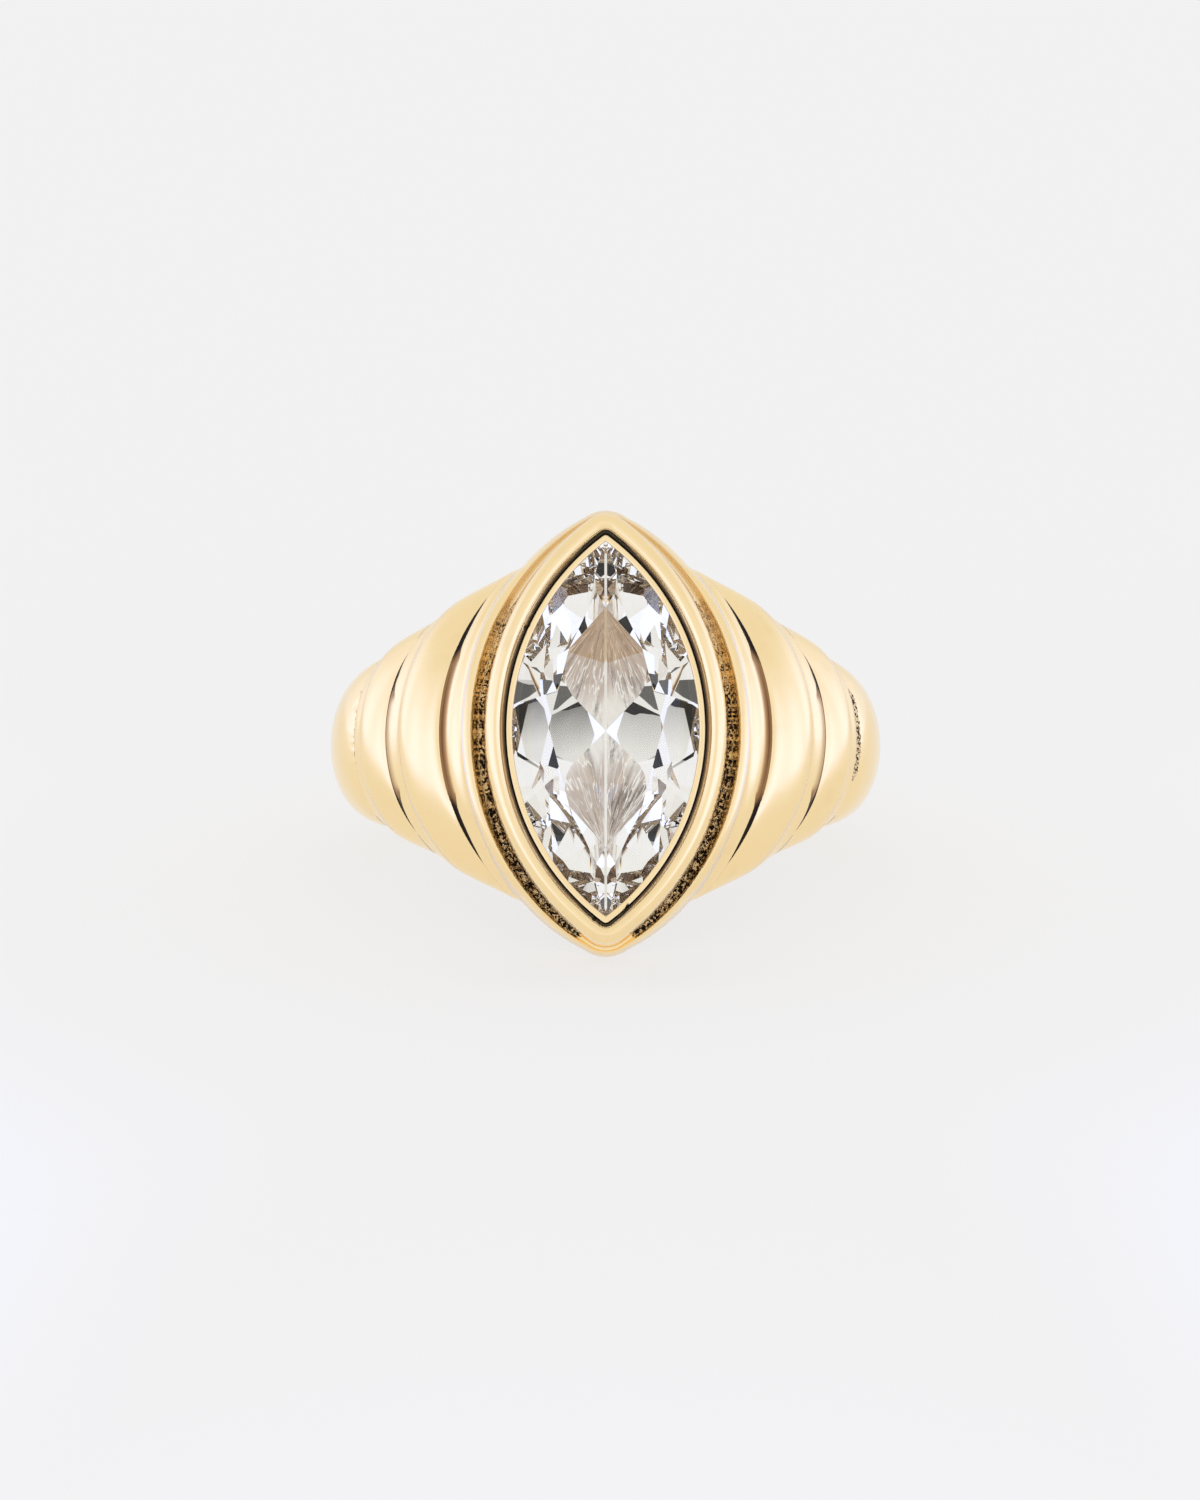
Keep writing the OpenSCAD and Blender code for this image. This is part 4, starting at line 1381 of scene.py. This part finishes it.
def add_camera_front():
    """The camera's grey lens, its black front and the dark stand below, as the stone alone sees them."""
    away = toward(0, CARD_ELEVATION)
    across = Vector((1, 0, 0))
    up = away.cross(across)
    turns = [2 * pi * k / CARD_CORNERS for k in range(CARD_CORNERS)]
    points, faces, lights = [], [], []
    for right, high, nearer, inner, outer, inner_light, outer_light in CARD_RINGS:
        centre = Vector(hole["pos_m"]) + away * (CARD_AWAY - nearer) + across * right + up * high
        first = len(points)
        for radius, light in ((inner, inner_light), (outer, outer_light)):
            points += [centre + (across * cos(a) + up * sin(a)) * radius for a in turns]
            lights += [blend(*light, (1 + cos(a)) / 2) for a in turns]
        for k in range(CARD_CORNERS):
            after = (k + 1) % CARD_CORNERS
            faces.append([first + i for i in (k, after, CARD_CORNERS + after, CARD_CORNERS + k)])
    mesh = bpy.data.meshes.new("camera_front")
    mesh.from_pydata(points, [], faces)
    mesh.attributes.new("light", "FLOAT", "POINT").data.foreach_set("value", lights)
    material, node = new_material("camera_front")
    light = node("Attribute", attribute_name="light", output="Fac")
    node("OutputMaterial", {"Surface": node("Emission", {"Strength": light})})
    mesh.materials.append(material)
    card = add_object("camera_front", mesh)
    card.visible_camera = False
    card.visible_glossy = False
    card.visible_diffuse = False
    card.visible_shadow = False


# The camera: its distance in metres, how many degrees it looks down on the head, the photograph's scale and
# height in pixels, and how many pixels to the right of and above the frame's middle the hole's middle lies
CAMERA_AWAY = 0.3
VIEW_ANGLE = 3.1
PX_PER_MM = 26.04
FRAME_H_PX = 1500
RIGHT_PX, ABOVE_PX = 5.5, 3.5
SENSOR_MM = 36


def add_camera(scene):
    """The camera looks along +Y and a little down, at the photograph's small angle to the head.

    The sensor's width lies along the frame's height, so the lens is the scale times the distance, over the
    frame's height, times the sensor's width.
    """
    finger_axis = Vector(hole["axis"])
    lean = atan2(finger_axis.y, finger_axis.z) - radians(VIEW_ANGLE)
    away = Vector((0, -cos(lean), sin(lean)))
    up = Vector((0, sin(lean), cos(lean)))
    pixel = MM / PX_PER_MM
    target = Vector(hole["pos_m"]) - Vector((1, 0, 0)) * (RIGHT_PX * pixel) - up * (ABOVE_PX * pixel)
    camera = add_object("camera", bpy.data.cameras.new("camera"))
    camera.location = target + away * CAMERA_AWAY
    camera.rotation_euler = away.to_track_quat("Z", "Y").to_euler()
    camera.data.lens = CAMERA_AWAY / pixel / FRAME_H_PX * SENSOR_MM
    camera.data.sensor_width = SENSOR_MM
    camera.data.clip_start = 0.01
    camera.data.clip_end = 10
    scene.camera = camera


class RING_OT_body(bpy.types.Operator):
    """Makes the ring's metal: the bezel, collar, stepped shoulders and band, as one closed surface"""

    bl_idname = "ring.body"
    bl_label = "Gold body"

    def execute(self, context):
        f = ring_form(context.scene.ring_sizes)
        piece = add_object("gold_body", gold_mesh(f, gold_material(context.scene.ring_finish)))
        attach(piece, "root")
        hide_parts("ring_body")
        return {"FINISHED"}


class RING_OT_stone(bpy.types.Operator):
    """Makes the marquise stone, cut by its facets' planes"""

    bl_idname = "ring.stone"
    bl_label = "Stone"

    def execute(self, context):
        mesh = cut_stone(ring_form(context.scene.ring_sizes))
        mesh.materials.append(stone_material(context.scene.ring_finish))
        piece = add_object("marquise_stone", mesh)
        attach(piece, "root")
        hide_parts("stone")
        return {"FINISHED"}


class RING_OT_stage(bpy.types.Operator):
    """Makes the floor, the lights and the camera"""

    bl_idname = "ring.stage"
    bl_label = "Stage"

    def execute(self, context):
        scene = context.scene
        add_floor(scene.ring_finish)
        add_world(scene)
        add_camera_front()
        add_camera(scene)
        scene.view_settings.view_transform = "Standard"
        # Light turns back many times inside a cut stone
        scene.cycles.max_bounces = 24
        scene.cycles.glossy_bounces = 20
        scene.cycles.transmission_bounces = 24
        return {"FINISHED"}


class RING_PT_panel(bpy.types.Panel):
    """Sizes, colours and pieces of the ring"""

    bl_label = "Navette ring"
    bl_space_type = "VIEW_3D"
    bl_region_type = "UI"
    bl_category = "Ring"

    def draw(self, context):
        layout = self.layout
        for group in (context.scene.ring_sizes, context.scene.ring_finish):
            for name in group.__annotations__:
                layout.prop(group, name)
        for operator in OPERATORS:
            layout.operator(operator.bl_idname)


OPERATORS = (RING_OT_body, RING_OT_stone, RING_OT_stage)
CLASSES = (RingSizes, RingFinish, *OPERATORS, RING_PT_panel)


def register():
    for cls in CLASSES:
        bpy.utils.register_class(cls)
    bpy.types.Scene.ring_sizes = PointerProperty(type=RingSizes)
    bpy.types.Scene.ring_finish = PointerProperty(type=RingFinish)


def unregister():
    del bpy.types.Scene.ring_finish
    del bpy.types.Scene.ring_sizes
    for cls in reversed(CLASSES):
        bpy.utils.unregister_class(cls)


def main():
    register()
    for operator in OPERATORS:
        group, name = operator.bl_idname.split(".")
        getattr(getattr(bpy.ops, group), name)()
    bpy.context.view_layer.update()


if __name__ == "__main__":
    main()
